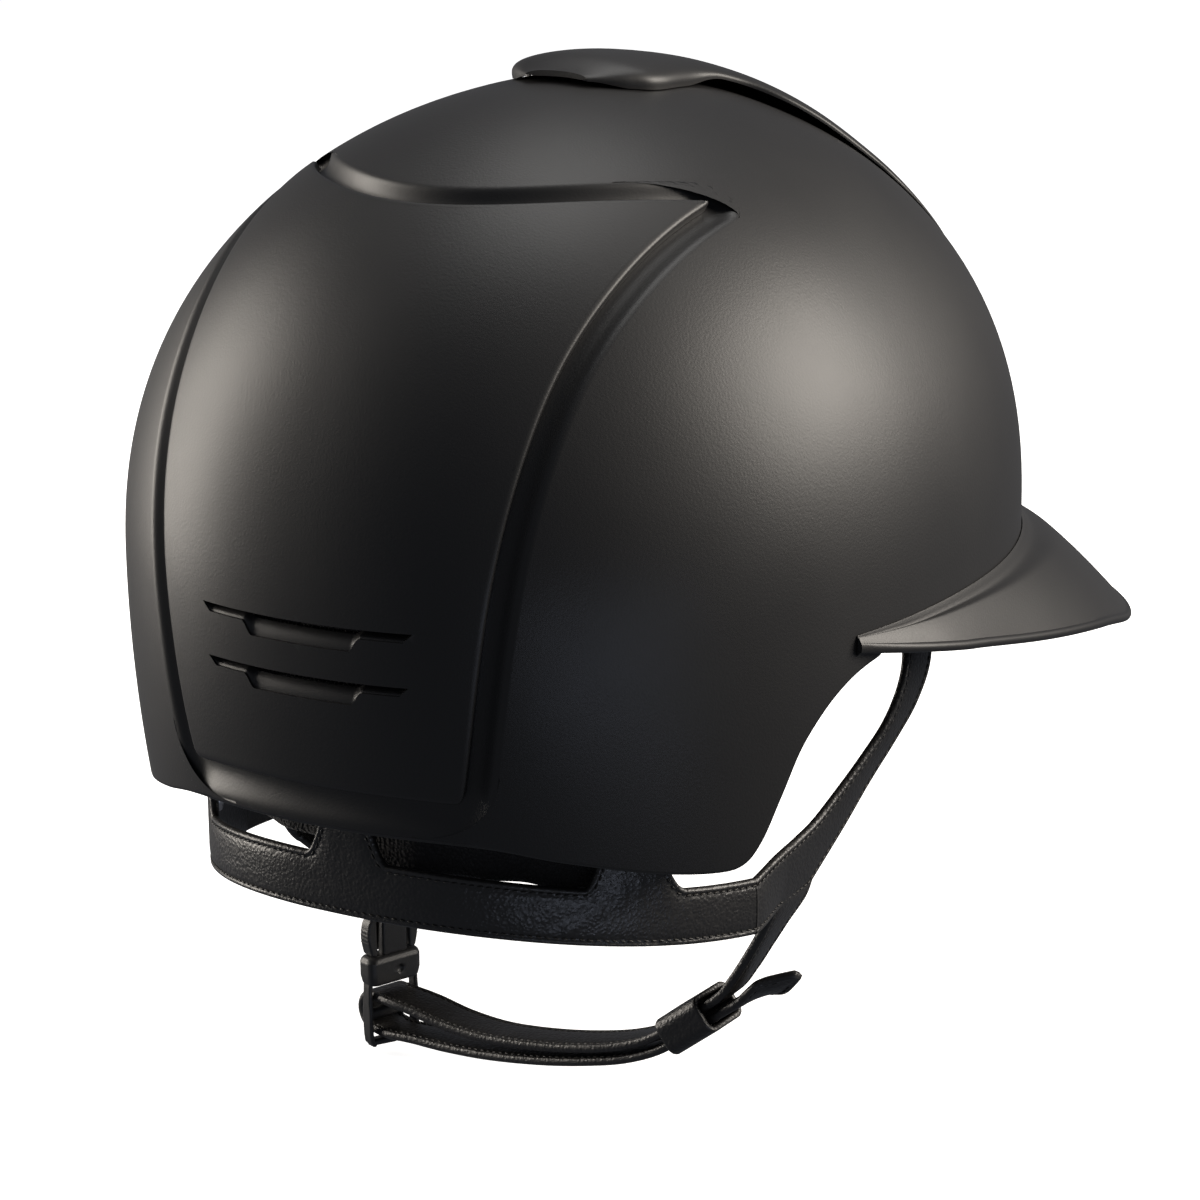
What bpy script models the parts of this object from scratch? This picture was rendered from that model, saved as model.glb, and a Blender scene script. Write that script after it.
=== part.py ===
"""Riding helmet with a peak and a leather harness, as separate solids.

Metres, +Z up. The face looks along -Y, the wearer's left is +X, and the dome is symmetric about X = 0.
"""

import math

import bpy
import numpy as np
from mathutils import Vector

for old in list(bpy.data.objects):
    bpy.data.objects.remove(old, do_unlink=True)

# The dome: each half axis is its widest value times a profile that closes at the crown.
DOME_HALF_WIDTH = 0.108
DOME_FRONT = 0.1325
DOME_REAR = 0.1295
DOME_WIDEST_Z = 0.060
DOME_RISE = 0.1155
DOME_BOTTOM_Z = -0.020
PLAN_EXPONENT = 2.15
SIDE_PROFILE = (2.24, 1.88, 0.010)
FRONT_PROFILE = (2.25, 1.91, 0.0)
REAR_PROFILE = (2.20, 2.11, 0.040)
TUCK_DEPTH = 0.050

# Walls, counted inwards from the dome's outer surface.
GAP = 0.0003
SHELL_WALL = 0.003
LINER_WALL = 0.0207
PAD_GAP = 0.0016
PAD_WALL = 0.0064
LINER_OUT = SHELL_WALL + GAP
LINER_IN = LINER_OUT + LINER_WALL
PAD_OUT = LINER_IN + PAD_GAP
PAD_IN = PAD_OUT + PAD_WALL

# Rim heights along Y, from the nape to the brow: low over the nape, lowest behind the ear, high at the brow.
RIM = (
    (0.140, 0.0112), (0.119, 0.0102), (0.106, 0.0057), (0.091, 0.0012), (0.078, -0.0010),
    (0.0715, -0.0002), (0.0675, 0.0050), (0.063, 0.0160), (0.057, 0.0285), (0.0465, 0.0390),
    (0.033, 0.0445), (0.010, 0.0465), (-0.150, 0.0465),
)
LINER_SHORTER = 0.002

# Panels are drawn in a plane square to the way each one faces, as (across, up).
REAR_FACING = math.radians(40)
REAR_BOTTOM = (-0.0645, 2.5)
REAR_TOP = (0.0706, 7.8)
REAR_SIDE = ((0.0385, -0.0640), (0.0425, -0.0480), (0.0470, -0.0220), (0.0504, 0.0060),
             (0.0530, 0.0360), (0.0560, 0.0650), (0.0590, 0.0980))
GROOVE_WIDTH = 0.005
POCKET_DEPTH = 0.003
POCKET_WALL = 0.003
INSERT_PROUD, INSERT_DEPTH = 0.0003, 0.0024
VENT_HALF = 0.0304
VENT_TAPER = 0.0014
VENT_CORNER = 0.0024
VENT_FLANK = 0.003
VENT_NOTCH_HALF = 0.017
VENT_TOPS = (0.0642, 0.0508)
VENT_SLIT = 0.0022
VENT_DEPTH = 0.0057
WINDOW_LOW, WINDOW_HIGH, WINDOW_HALF = 0.0420, 0.0665, 0.0335
REAR_MESH_DEPTHS = (0.0036, 0.0052)
FRONT_FACING = math.radians(50)
FRONT_BOTTOM = (-0.0655, 3.8)
FRONT_TOP = (0.1195, 0.0)
FRONT_SIDE = ((0.0450, -0.0600), (0.0540, -0.0360), (0.0600, -0.0100), (0.0625, 0.0140),
              (0.0585, 0.0360), (0.0505, 0.0470), (0.0440, 0.0590), (0.0360, 0.0700),
              (0.0265, 0.0790), (0.0222, 0.0900), (0.0218, 0.1060), (0.0175, 0.1130), (0.0090, 0.1195))
PANEL_LIFT = 0.0015
SCOOP_HEIGHT = 0.0058
SCOOP_START, SCOOP_FULL = 0.020, 0.085
SCOOP_WALL = 0.0024
SCOOP_MOUTH = 0.0024
MOUTH_START, MOUTH_FULL = 0.104, 0.117
SCOOP_SIDE_POWER = 6
INTAKE_LOW, INTAKE_HIGH, INTAKE_HALF = 0.0800, 0.0980, 0.0260
FRONT_MESH_DEPTHS = (0.0006, 0.0022)

# The peak: how far it stands out and how high its rim is, by angle from the front.
PEAK_RIM = ((0, 0.0540, 0.0210), (15, 0.0510, 0.0183), (30, 0.0445, 0.0154), (45, 0.0350, 0.0190),
            (60, 0.0240, 0.0278), (80, 0.0120, 0.0372), (95, 0.0070, 0.0452), (107, 0.0018, 0.0509))
PEAK_ROOT_TOP = 0.0525
PEAK_ROOT_BOTTOM = 0.0472
PEAK_EDGE = 0.0026
PEAK_BULGE = 0.0022
BULGE_REACH = 0.020
SCREW_ANGLES = (-38, 38)
SCREW_Z = 0.0498
SCREW_RADIUS, SCREW_HEAD = 0.0012, 0.0026
SCREW_LENGTH, SCREW_HEAD_DEPTH = 0.0085, 0.0013
HOLE_RADIUS, HOLE_LENGTH = 0.0015, 0.0092
RELIEF_RADIUS, RELIEF_LOW, RELIEF_HIGH = 0.0034, -0.0028, 0.0010

# Padding and its hook patches: angles from the brow in degrees, then levels.
BROW_PAD = (-52, 52), (0.0, 0.28)
NAPE_PAD = (142, 218), (-0.72, -0.20)
SIDE_PAD_START, SIDE_PAD_SPAN, SIDE_PAD_LEVELS = {"left": 78, "right": -112}, 34, (0.04, 0.40)
CROWN_PAD_HALF = (0.030, 0.070)
CROWN_PATCH_HALF = (0.012, 0.030)
HOOK_PLACES = (("brow", 0, 0.10), ("nape", 180, -0.45), ("left", 95, 0.2), ("right", -95, 0.2))
HOOK_HALF_ANGLE, HOOK_HALF_LEVEL = 7, 0.05

# The harness: leather is two skins over a filler. Routes run down and rearwards.
LEATHER = 0.0022
STRAP_WIDTH = 0.013
BAND_HALF_WIDTH, BAND_REAR, BAND_EXPONENT = 0.084, 0.112, 2.3
BAND_END_X = 0.0787
BAND_LOW, BAND_LOW_DROP, BAND_LOW_POWER = -0.0160, 0.0114, 2.6
BAND_TOP, BAND_TOP_DROP, BAND_TOP_POWER = -0.0007, 0.0118, 2.4
CENTRE_TAB, CENTRE_TAB_TOP = 0.007, 0.0092
SIDE_TAB, SIDE_TAB_TOP = (0.059, 0.067), 0.0002
TAB_FLANK = 0.0025
Y_AXIS = (0.027, -0.027)
KNUCKLE, KNUCKLE_GAP = 0.0065, 0.0005
YOKE_REAR_EDGE = ((-0.030, 0.062), (-0.026, 0.045), (-0.0195, 0.029), (-0.0115, 0.0150),
                  (-0.002, 0.0057), (0.014, -0.0050), (0.025, -0.0085), (0.037, -0.0105), (0.0462, -0.0119))
YOKE_FRONT_EDGE = ((0.0462, -0.0258), (0.034, -0.0262), (0.027, -0.0262), (0.0170, -0.0255),
                   (0.0133, -0.0234), (-0.0034, -0.0105), (-0.0185, 0.0052), (-0.0262, 0.0147),
                   (-0.0328, 0.0260), (-0.0385, 0.045), (-0.0430, 0.062))
YOKE_END_Y, YOKE_END_BLEND = 0.0462, 0.028
FRONT_RIVET = (-0.0345, 0.0560, 0.0045)
SIDE_RIVET = (-0.0052, 0.0032)
NAPE_RIVET = (0.0040, 0.0042)
RIVET_RISE, RIVET_CROWN, RIVET_CROWN_SHARE = 0.0009, 0.0016, 0.62
YOKE_SPREAD = ((-0.030, 0.0750), (-0.015, 0.0775), (-0.005, 0.0795), (0.0055, 0.0828),
               (0.015, 0.0855), (0.025, 0.0862), (0.034, 0.0838), (0.045, 0.0780), (0.062, 0.0756))
CHIN_MAIN = ((-0.0750, 0.027, -0.0270), (-0.0722, 0.027, -0.0335), (-0.0682, 0.027, -0.0405),
             (-0.0640, 0.0275, -0.0475), (-0.0596, 0.028, -0.0534), (-0.0400, 0.028, -0.0681),
             (-0.0310, 0.028, -0.0722), (-0.0200, 0.0278, -0.0752), (-0.0050, 0.0270, -0.0780),
             (0.0120, 0.0258, -0.0798), (0.0260, 0.0245, -0.0794), (0.0375, 0.0235, -0.0776))
CHIN_RETURN = ((-0.0806, 0.028, -0.0444), (-0.0742, 0.028, -0.0485), (-0.0618, 0.028, -0.0564),
               (-0.0423, 0.028, -0.0711), (-0.0320, 0.028, -0.0758), (-0.0205, 0.0278, -0.0790),
               (-0.0055, 0.0270, -0.0822), (0.0115, 0.0258, -0.0848), (0.0255, 0.0245, -0.0860),
               (0.0375, 0.0235, -0.0862))
KEEPER_CENTRE = (-0.0509, 0.028, -0.0623)
KEEPER_ALONG = (0.797, 0.0, -0.604)
KEEPER_LENGTH = 0.0150
KEEPER_WALL = 0.0016
KEEPER_INSIDE = (0.0146, 0.0074)
KEEPER_CORNER = 0.0016
TAIL_NARROWER = 0.001
TAIL_POINT = (0.003, 0.009)
SHORT_NARROWER = 0.0005
SHORT_STRAP = ((0.0750, 0.027, -0.0270), (0.0716, 0.0266, -0.0318), (0.0650, 0.0250, -0.0355),
               (0.0575, 0.0230, -0.0362), (0.0520, 0.0214, -0.0374), (0.0505, 0.0210, -0.0406))

# The buckle hangs upright; across is along its width, out is square to its face.
BUCKLE_FOOT = (0.0505, 0.0210)
BUCKLE_YAW = math.radians(20)
BASE_TOP, BASE_DROP = -0.0650, 0.0085
BASE_SIZE = (0.0173, 0.0067)
DIMPLE_RADIUS, DIMPLE_DEPTH, DIMPLE_DROP, DIMPLE_ASIDE = 0.0012, 0.0005, 0.0045, -0.001
SOCKET_TOP, SOCKET_SHOULDER = -0.0420, -0.0530
SOCKET_SIZE = (0.0145, 0.0067)
PLATE_HALF, PLATE_WALL, PLATE_SET_BACK = 0.0039, 0.0014, 0.0004
STRAP_SLOT_DROPS, STRAP_SLOT_SIDE = (0.0064, 0.0036), 0.0018
TONGUE_HALF, TONGUE_WALL = 0.0032, 0.0030
PRONG_PLACE, PRONG_WALL, PRONG_DEPTH = 0.0063, 0.0019, 0.0045
PRONG_BOW, PRONG_STATIONS = 0.0011, 9
LADDER_FOOT = -0.0915
LADDER_SIDE, LADDER_HALF_DEPTH, LADDER_INSET = 0.0013, 0.0018, 0.0002
BAR_HIGH, BAR_LOW = -0.0800, -0.0838
LADDER_FOOT_BAR = 0.0022
LOOP_NEAR, LOOP_REACH, LOOP_TURN = 0.0015, 0.0052, 0.35
LOOP_INSETS = (0.0045, 0.0010)
THROUGH = 0.006
OVERLAP, SLOT_HEADROOM = 0.001, 0.0016

AROUND = 48
RINGS = 11


# ---------------------------------------------------------------- forms

def profile(z, shape):
    """How much of its widest half axis the dome has at height z."""
    power, root, tuck = shape
    up = np.clip((z - DOME_WIDEST_Z) / DOME_RISE, 0, 1)
    down = np.clip(DOME_WIDEST_Z - z, 0, None) / TUCK_DEPTH
    return np.where(z > DOME_WIDEST_Z, (1 - up**power) ** (1 / root), 1 - tuck * down**2)


def dome(angle, z):
    """Points of the dome's outer surface; the angle runs from the brow towards +X."""
    angle, z = np.broadcast_arrays(np.asarray(angle, float), np.asarray(z, float))
    side = DOME_HALF_WIDTH * profile(z, SIDE_PROFILE)
    front = DOME_FRONT * profile(z, FRONT_PROFILE)
    rear = DOME_REAR * profile(z, REAR_PROFILE)
    across, along = np.sin(angle), np.cos(angle)
    power = 2 / PLAN_EXPONENT
    x = side * np.sign(across) * np.abs(across) ** power
    y = np.where(along > 0, -front, rear) * np.abs(along) ** power
    return np.stack([x, y, z], -1)


def level(share):
    """Heights from the bottom (-1) over the widest line (0) to the crown (1)."""
    share = np.asarray(share, float)
    above = DOME_WIDEST_Z + DOME_RISE * np.sin(np.clip(share, 0, 1) * math.pi / 2)
    below = DOME_WIDEST_Z + (DOME_WIDEST_Z - DOME_BOTTOM_Z) * np.clip(share, -1, 0)
    return np.where(share > 0, above, below)


def outside(points):
    """Zero on the dome, negative inside it."""
    x, y, z = np.moveaxis(np.asarray(points, float), -1, 0)
    side = DOME_HALF_WIDTH * profile(z, SIDE_PROFILE)
    long = np.where(y < 0, DOME_FRONT * profile(z, FRONT_PROFILE), DOME_REAR * profile(z, REAR_PROFILE))
    side, long = np.maximum(side, 1e-6), np.maximum(long, 1e-6)
    value = (np.abs(x) / side) ** PLAN_EXPONENT + (np.abs(y) / long) ** PLAN_EXPONENT - 1
    return np.where(z >= DOME_WIDEST_Z + DOME_RISE, 9.0, np.minimum(value, 9.0))


def outward(points):
    """Unit normals of the dome at points on it."""
    points = np.asarray(points, float)
    step = 2e-5
    slope = np.stack([
        outside(points * (1 - 1e-4) + step * axis) - outside(points * (1 - 1e-4) - step * axis)
        for axis in np.eye(3)
    ], -1)
    return slope / np.linalg.norm(slope, axis=-1, keepdims=True)


def shifted(points, inwards):
    return points - outward(points) * np.asarray(inwards)[..., None]


def smooth(points, count):
    """A Catmull-Rom curve through the points, evenly spaced by number."""
    points = np.asarray(points, float)
    padded = np.vstack([2 * points[0] - points[1], points, 2 * points[-1] - points[-2]])
    spot = np.linspace(0, len(points) - 1, count)
    first = np.minimum(spot.astype(int), len(points) - 2)
    t = (spot - first)[:, None]
    a, b, c, d = (padded[first + i] for i in range(4))
    return 0.5 * (2 * b + (c - a) * t + (2 * a - 5 * b + 4 * c - d) * t**2 + (3 * b - a - 3 * c + d) * t**3)


def ease(value, low, high):
    t = np.clip((np.asarray(value, float) - low) / (high - low), 0, 1)
    return t * t * (3 - 2 * t)


# ---------------------------------------------------------------- objects

def material(name, colour, roughness, metallic=0.0):
    made = bpy.data.materials.new(name)
    made.use_nodes = True
    shader = made.node_tree.nodes["Principled BSDF"]
    shader.inputs["Base Color"].default_value = (*colour, 1)
    shader.inputs["Roughness"].default_value = roughness
    shader.inputs["Metallic"].default_value = metallic
    return made


def solid(name, points, faces, colour=(0.02, 0.02, 0.022), roughness=0.5, metallic=0.0, origin=(0, 0, 0)):
    """An object from world points, with its origin where the joint needs it."""
    mesh = bpy.data.meshes.new(name)
    moved = np.asarray(points, float) - np.asarray(origin, float)
    mesh.from_pydata(moved.tolist(), [], [list(map(int, face)) for face in faces])
    mesh.materials.append(material(name, colour, roughness, metallic))
    mesh.update()
    made = bpy.data.objects.new(name, mesh)
    made.location = origin
    bpy.context.scene.collection.objects.link(made)
    mesh.shade_smooth()
    mesh.set_sharp_from_angle(angle=math.radians(35))
    return made


def helper(made):
    made.hide_render = True
    made.display_type = "WIRE"
    return made


def boolean(target, cutter, operation="DIFFERENCE"):
    modifier = target.modifiers.new(f"{operation} {cutter.name}", "BOOLEAN")
    modifier.operation = operation
    modifier.object = cutter
    modifier.solver = "EXACT"
    return target


def skin(rows, columns, wrap=False):
    """Quads of a grid of points, wound so that rows x columns faces out."""
    faces = []
    for r in range(rows - 1):
        for c in range(columns if wrap else columns - 1):
            d = (c + 1) % columns
            faces.append((r * columns + c, r * columns + d, (r + 1) * columns + d, (r + 1) * columns + c))
    return faces


def slab(name, outer, inner, **look):
    """A closed sheet between two grids of points with the same rows and columns."""
    rows, columns = outer.shape[:2]
    count = rows * columns
    faces = skin(rows, columns)
    faces += [tuple(count + i for i in reversed(face)) for face in skin(rows, columns)]
    edge = [c for c in range(columns)]
    edge += [r * columns + columns - 1 for r in range(1, rows)]
    edge += [(rows - 1) * columns + c for c in range(columns - 2, -1, -1)]
    edge += [r * columns for r in range(rows - 2, 0, -1)]
    for i, spot in enumerate(edge):
        after = edge[(i + 1) % len(edge)]
        faces.append((after, spot, count + spot, count + after))
    points = np.vstack([outer.reshape(-1, 3), inner.reshape(-1, 3)])
    return facing_out(solid(name, points, faces, **look))


def facing_out(made):
    """Turns every face round if the closed mesh is inside out."""
    mesh = made.data
    volume = 0.0
    for face in mesh.polygons:
        corners = [mesh.vertices[i].co for i in face.vertices]
        for i in range(1, len(corners) - 1):
            volume += corners[0].dot(corners[i].cross(corners[i + 1]))
    if volume < 0:
        mesh.flip_normals()
    return made


def full_dome(name, inwards):
    """The closed dome, offset inwards and flat across its bottom."""
    shares = np.concatenate([np.linspace(-1, 0, 5)[:-1], np.linspace(0, 1, RINGS + 1)[:-1]])
    angles = np.linspace(0, 2 * math.pi, AROUND, endpoint=False) + math.pi / AROUND
    grid = shifted(dome(angles[None, :], level(shares)[:, None]), inwards)
    grid[0, :, 2] = DOME_BOTTOM_Z - inwards
    crown = len(shares) * AROUND
    points = np.vstack([grid.reshape(-1, 3), [[0, 0, DOME_WIDEST_Z + DOME_RISE - inwards]]])
    faces = skin(len(shares), AROUND, wrap=True)
    last = crown - AROUND
    faces += [(last + c, last + (c + 1) % AROUND, crown) for c in range(AROUND)]
    faces.append(tuple(reversed(range(AROUND))))
    return facing_out(solid(name, points, faces))


def extrusion(name, outline, place):
    """A prism from an outline; place(point, end) gives the world point of each end."""
    count = len(outline)
    points = [place(point, end) for end in (0, 1) for point in outline]
    faces = [tuple(range(count)), tuple(reversed(range(count, 2 * count)))]
    faces += [(i, count + i, count + (i + 1) % count, (i + 1) % count) for i in range(count)]
    return facing_out(solid(name, points, faces))


def patch(name, angles, shares, outer, inner, columns, rows, **look):
    """A sheet that follows the dome between two angles, two levels and two depths."""
    across = np.radians(np.linspace(*angles, columns))[None, :]
    up = level(np.linspace(*shares, rows))[:, None]
    surface = dome(across, up)
    full = np.ones(surface.shape[:2])
    return slab(name, shifted(surface, outer * full), shifted(surface, inner * full), **look)


def box(name, low, high, **look):
    low, high = np.minimum(low, high), np.maximum(low, high)
    corners = [(x, y, z) for x in (low[0], high[0]) for y in (low[1], high[1]) for z in (low[2], high[2])]
    faces = [(0, 1, 3, 2), (4, 6, 7, 5), (0, 4, 5, 1), (2, 3, 7, 6), (0, 2, 6, 4), (1, 5, 7, 3)]
    return solid(name, corners, faces, **look)


def turned(name, centre, axis, steps, sides=20, **look):
    """A stepped round solid: steps are (distance along the axis, radius), from its start."""
    centre, turn = Vector(centre), Vector(axis).normalized().to_track_quat("Z", "Y")
    points = []
    for distance, radius in steps:
        for a in np.linspace(0, 2 * math.pi, sides, endpoint=False):
            points.append(centre + turn @ Vector((radius * math.cos(a), radius * math.sin(a), distance)))
    faces = skin(len(steps), sides, wrap=True)
    faces.append(tuple(reversed(range(sides))))
    faces.append(tuple(range(sides * (len(steps) - 1), sides * len(steps))))
    return facing_out(solid(name, points, faces, **look))


# ---------------------------------------------------------------- places on the panels

def facing(angle, side):
    """Directions of a panel's plane: the way it faces and its up direction. side is +1 at the rear."""
    towards = np.array([0, side * math.cos(angle), math.sin(angle)])
    upwards = np.array([0, -side * math.sin(angle), math.cos(angle)])
    return towards, upwards


def cast(starts, direction):
    """Where rays from points inside the dome leave it."""
    near, far = np.zeros(starts.shape[:-1]), np.full(starts.shape[:-1], 0.3)
    for _ in range(40):
        middle = (near + far) / 2
        inside = outside(starts + middle[..., None] * direction) < 0
        near, far = np.where(inside, middle, near), np.where(inside, far, middle)
    return starts + near[..., None] * direction


def panel_plan(side_points, bottom, top, columns, rows, margin=0.0):
    """(across, up) of a panel's grid, between its side curve, its bottom curve and its top curve."""
    curve = smooth(side_points, 60)
    t = np.linspace(-1, 1, columns)[None, :]
    v = np.linspace(0, 1, rows)[:, None]
    up = np.broadcast_to((1 - v) * bottom[0] + v * top[0], (rows, columns))
    for _ in range(30):
        across = t * (np.interp(up, curve[:, 1], curve[:, 0]) + margin)
        inside = np.minimum(np.abs(across), curve[:, 0].max())
        low = bottom[0] - margin + bottom[1] * inside**2
        high = top[0] + margin + top[1] * inside**2
        up = low + v * (high - low)
    return across, up


def on_panel(across, up, angle, side):
    towards, upwards = facing(angle, side)
    starts = across[..., None] * np.array([1.0, 0, 0]) + up[..., None] * upwards
    return cast(starts, towards)


def plan_edge(across, up):
    """The rim of a plan grid as one closed outline."""
    pairs = np.stack([across, up], -1)
    return np.vstack([pairs[0, :-1], pairs[:-1, -1], pairs[-1, :0:-1], pairs[:0:-1, 0]])


def panel_prism(name, margin):
    """The rear panel's outline grown by a margin and drawn out through the dome."""
    towards, upwards = facing(REAR_FACING, 1)
    outline = plan_edge(*panel_plan(REAR_SIDE, REAR_BOTTOM, REAR_TOP, 15, 15, margin))

    def place(point, end):
        return point[0] * np.array([1.0, 0, 0]) + point[1] * upwards + (0.02 + 0.25 * end) * towards

    return helper(extrusion(name, outline, place))


def rim_cutter(name, raised):
    """Everything below the rim line, drawn out across the helmet."""
    line = smooth(RIM, 45) + np.array([0, raised])
    outline = np.vstack([line, [[-0.25, line[-1, 1]], [-0.25, -0.08], [0.25, -0.08], [0.25, line[0, 1]]]])
    return helper(extrusion(name, outline, lambda p, end: (-0.15 + 0.3 * end, p[0], p[1])))


# ---------------------------------------------------------------- the helmet

ABS = dict(colour=(0.018, 0.018, 0.020), roughness=0.42)
FOAM = dict(colour=(0.03, 0.03, 0.03), roughness=0.9)
TEXTILE = dict(colour=(0.02, 0.02, 0.022), roughness=0.95)
HIDE = dict(colour=(0.022, 0.020, 0.019), roughness=0.38)
NYLON = dict(colour=(0.045, 0.045, 0.046), roughness=0.5)
STEEL = dict(colour=(0.35, 0.35, 0.36), roughness=0.3, metallic=1.0)


def recoloured(made, look):
    shader = made.data.materials[0].node_tree.nodes["Principled BSDF"]
    shader.inputs["Base Color"].default_value = (*look["colour"], 1)
    shader.inputs["Roughness"].default_value = look["roughness"]
    return made


def outside_block(name, prism, depth):
    """The part of a prism that lies outside the dome at one depth."""
    made = helper(bpy.data.objects.new(name, prism.data.copy()))
    bpy.context.scene.collection.objects.link(made)
    return boolean(made, helper(full_dome(name + "_floor", depth)))


def outer_shell(rim):
    """Injected shell with a sunk pocket for the rear panel, a vent window and two screw holes."""
    shell = recoloured(full_dome("outer_shell", 0.0), ABS)
    wide = panel_prism("cut_pocket_back", GROOVE_WIDTH + POCKET_WALL)
    hollow = helper(full_dome("cut_shell_hollow", SHELL_WALL))
    boolean(hollow, outside_block("cut_pocket_back_block", wide, POCKET_DEPTH + POCKET_WALL))
    boolean(shell, hollow)
    pocket = panel_prism("cut_pocket", GROOVE_WIDTH)
    boolean(shell, outside_block("cut_pocket_block", pocket, POCKET_DEPTH + 0.00005))
    window = box("cut_window", (-WINDOW_HALF, 0.08, WINDOW_LOW), (WINDOW_HALF, 0.14, WINDOW_HIGH))
    boolean(shell, helper(window))
    intake = box("cut_intake", (-INTAKE_HALF, -0.14, INTAKE_LOW), (INTAKE_HALF, -0.08, INTAKE_HIGH))
    boolean(shell, helper(intake))
    boolean(shell, rim)
    return shell


def rear_panel():
    """Snap-in insert, flush in its groove, with two vents that each dip in the middle."""
    across, up = panel_plan(REAR_SIDE, REAR_BOTTOM, REAR_TOP, 17, 17)
    surface = on_panel(across, up, REAR_FACING, 1)
    full = np.ones(across.shape)
    top_face = shifted(surface, -INSERT_PROUD * full)
    panel = slab("rear_panel", top_face, shifted(surface, INSERT_DEPTH * full), **ABS)
    for number, top in enumerate(VENT_TOPS):
        half = VENT_HALF - VENT_TAPER * number
        right = ((half, top), (half - VENT_CORNER, top - VENT_SLIT), (VENT_NOTCH_HALF, top - VENT_SLIT),
                 (VENT_NOTCH_HALF - VENT_FLANK, top - VENT_DEPTH))
        outline = list(right) + [(-x, z) for x, z in reversed(right)]
        cutter = extrusion(f"cut_vent_{number}", outline, lambda p, end: (p[0], 0.09 + 0.06 * end, p[1]))
        boolean(panel, helper(cutter))
    return panel


def wall_plate(name, half, low, high, side, depths, **look):
    """A plate that follows the dome's front or rear inside a rectangular window."""
    across, up = np.meshgrid(np.linspace(-half, half, 9), np.linspace(low, high, 5))
    starts = np.stack([across, 0 * across, up], -1)
    surface = cast(starts, np.array([0.0, side, 0.0]))
    full = np.ones(across.shape)
    return slab(name, shifted(surface, depths[0] * full), shifted(surface, depths[1] * full), **look)


def front_panel():
    """Raised strip from the brow to the crown, where it ends in an open scoop."""
    across, up = panel_plan(FRONT_SIDE, FRONT_BOTTOM, FRONT_TOP, 15, 25)
    surface = on_panel(across, up, FRONT_FACING, -1)
    height = PANEL_LIFT + (SCOOP_HEIGHT - PANEL_LIFT) * ease(up, SCOOP_START, SCOOP_FULL)
    share = np.linspace(-1, 1, across.shape[1])[None, :] ** SCOOP_SIDE_POWER
    hollow = np.clip(height - SCOOP_WALL - GAP, 0, None) * (1 - share)
    mouth = SCOOP_MOUTH * ease(up, MOUTH_START, MOUTH_FULL)
    under = GAP + np.maximum(hollow, mouth)
    return slab("front_panel", shifted(surface, -height), shifted(surface, -under), **ABS)


def peak():
    """Separate moulded peak, screwed to the brow, thin and rolled at its rim."""
    right = np.array(PEAK_RIM)
    whole = np.vstack([right[:0:-1] * (-1, 1, 1), right])
    line = smooth(whole, 49)
    angles = np.radians(line[:, 0])
    top = shifted(dome(angles, PEAK_ROOT_TOP), np.full(len(angles), -GAP))
    bottom = shifted(dome(angles, PEAK_ROOT_BOTTOM), np.full(len(angles), -GAP))
    away = outward(dome(angles, DOME_WIDEST_Z)) * (1, 1, 0)
    rim = dome(angles, PEAK_ROOT_TOP) + away * line[:, 1:2]
    rim[:, 2] = line[:, 2]
    outer, inner = [], []
    for u in np.linspace(0, 1, 6):
        bulge = np.array([0, 0, PEAK_BULGE * 4 * u * (1 - u)]) * np.minimum(line[:, 1:2] / BULGE_REACH, 1)
        outer.append(top * (1 - u) + rim * u + bulge)
        inner.append(bottom * (1 - u) + (rim - (0, 0, PEAK_EDGE)) * u + bulge)
    return slab("peak", np.array(outer), np.array(inner), **ABS)


def peak_screws(shell, visor, liner):
    """Two screws from inside: through the wall and into the root of the peak."""
    for angle in SCREW_ANGLES:
        side = "left" if angle > 0 else "right"
        start = dome(math.radians(angle), SCREW_Z)
        axis = outward(start[None])[0] * (1, 1, 0)
        axis /= np.linalg.norm(axis)
        inner_face = start - axis * (SHELL_WALL + GAP)
        under = -GAP
        steps = ((under - SCREW_HEAD_DEPTH, SCREW_HEAD), (under, SCREW_HEAD),
                 (under, SCREW_RADIUS), (SCREW_LENGTH, SCREW_RADIUS))
        turned(f"peak_screw_{side}", inner_face, axis, steps, 16, **STEEL)
        bore = ((-0.5 * GAP, HOLE_RADIUS), (HOLE_LENGTH, HOLE_RADIUS))
        hole = turned(f"cut_screw_{side}", inner_face, axis, bore, 16)
        boolean(shell, helper(hole))
        boolean(visor, hole)
        room = ((RELIEF_LOW, RELIEF_RADIUS), (RELIEF_HIGH, RELIEF_RADIUS))
        relief = turned(f"cut_head_{side}", inner_face, axis, room, 16)
        boolean(liner, helper(relief))


def impact_liner():
    """Expanded foam bowl that fills the shell, thinner behind the rear pocket."""
    wide = panel_prism("cut_liner_prism", GROOVE_WIDTH + POCKET_WALL + GAP)
    liner = recoloured(full_dome("impact_liner", LINER_OUT), FOAM)
    boolean(liner, outside_block("cut_liner_block", wide, LINER_OUT + POCKET_WALL))
    boolean(liner, helper(full_dome("cut_liner_hollow", LINER_IN)))
    boolean(liner, rim_cutter("cut_liner_rim", LINER_SHORTER))
    return liner


def crown_patch(name, half_wide, half_long, depths, columns, rows, **look):
    """A sheet under the crown, drawn in plan."""
    sideways, lengthways = np.linspace(-half_wide, half_wide, columns), np.linspace(-half_long, half_long, rows)
    across, along = np.meshgrid(sideways, lengthways)
    starts = np.stack([across, along, DOME_WIDEST_Z + 0 * across], -1)
    surface = cast(starts, np.array([0.0, 0.0, 1.0]))
    full = np.ones(across.shape)
    return slab(name, shifted(surface, depths[0] * full), shifted(surface, depths[1] * full), **look)


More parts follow.
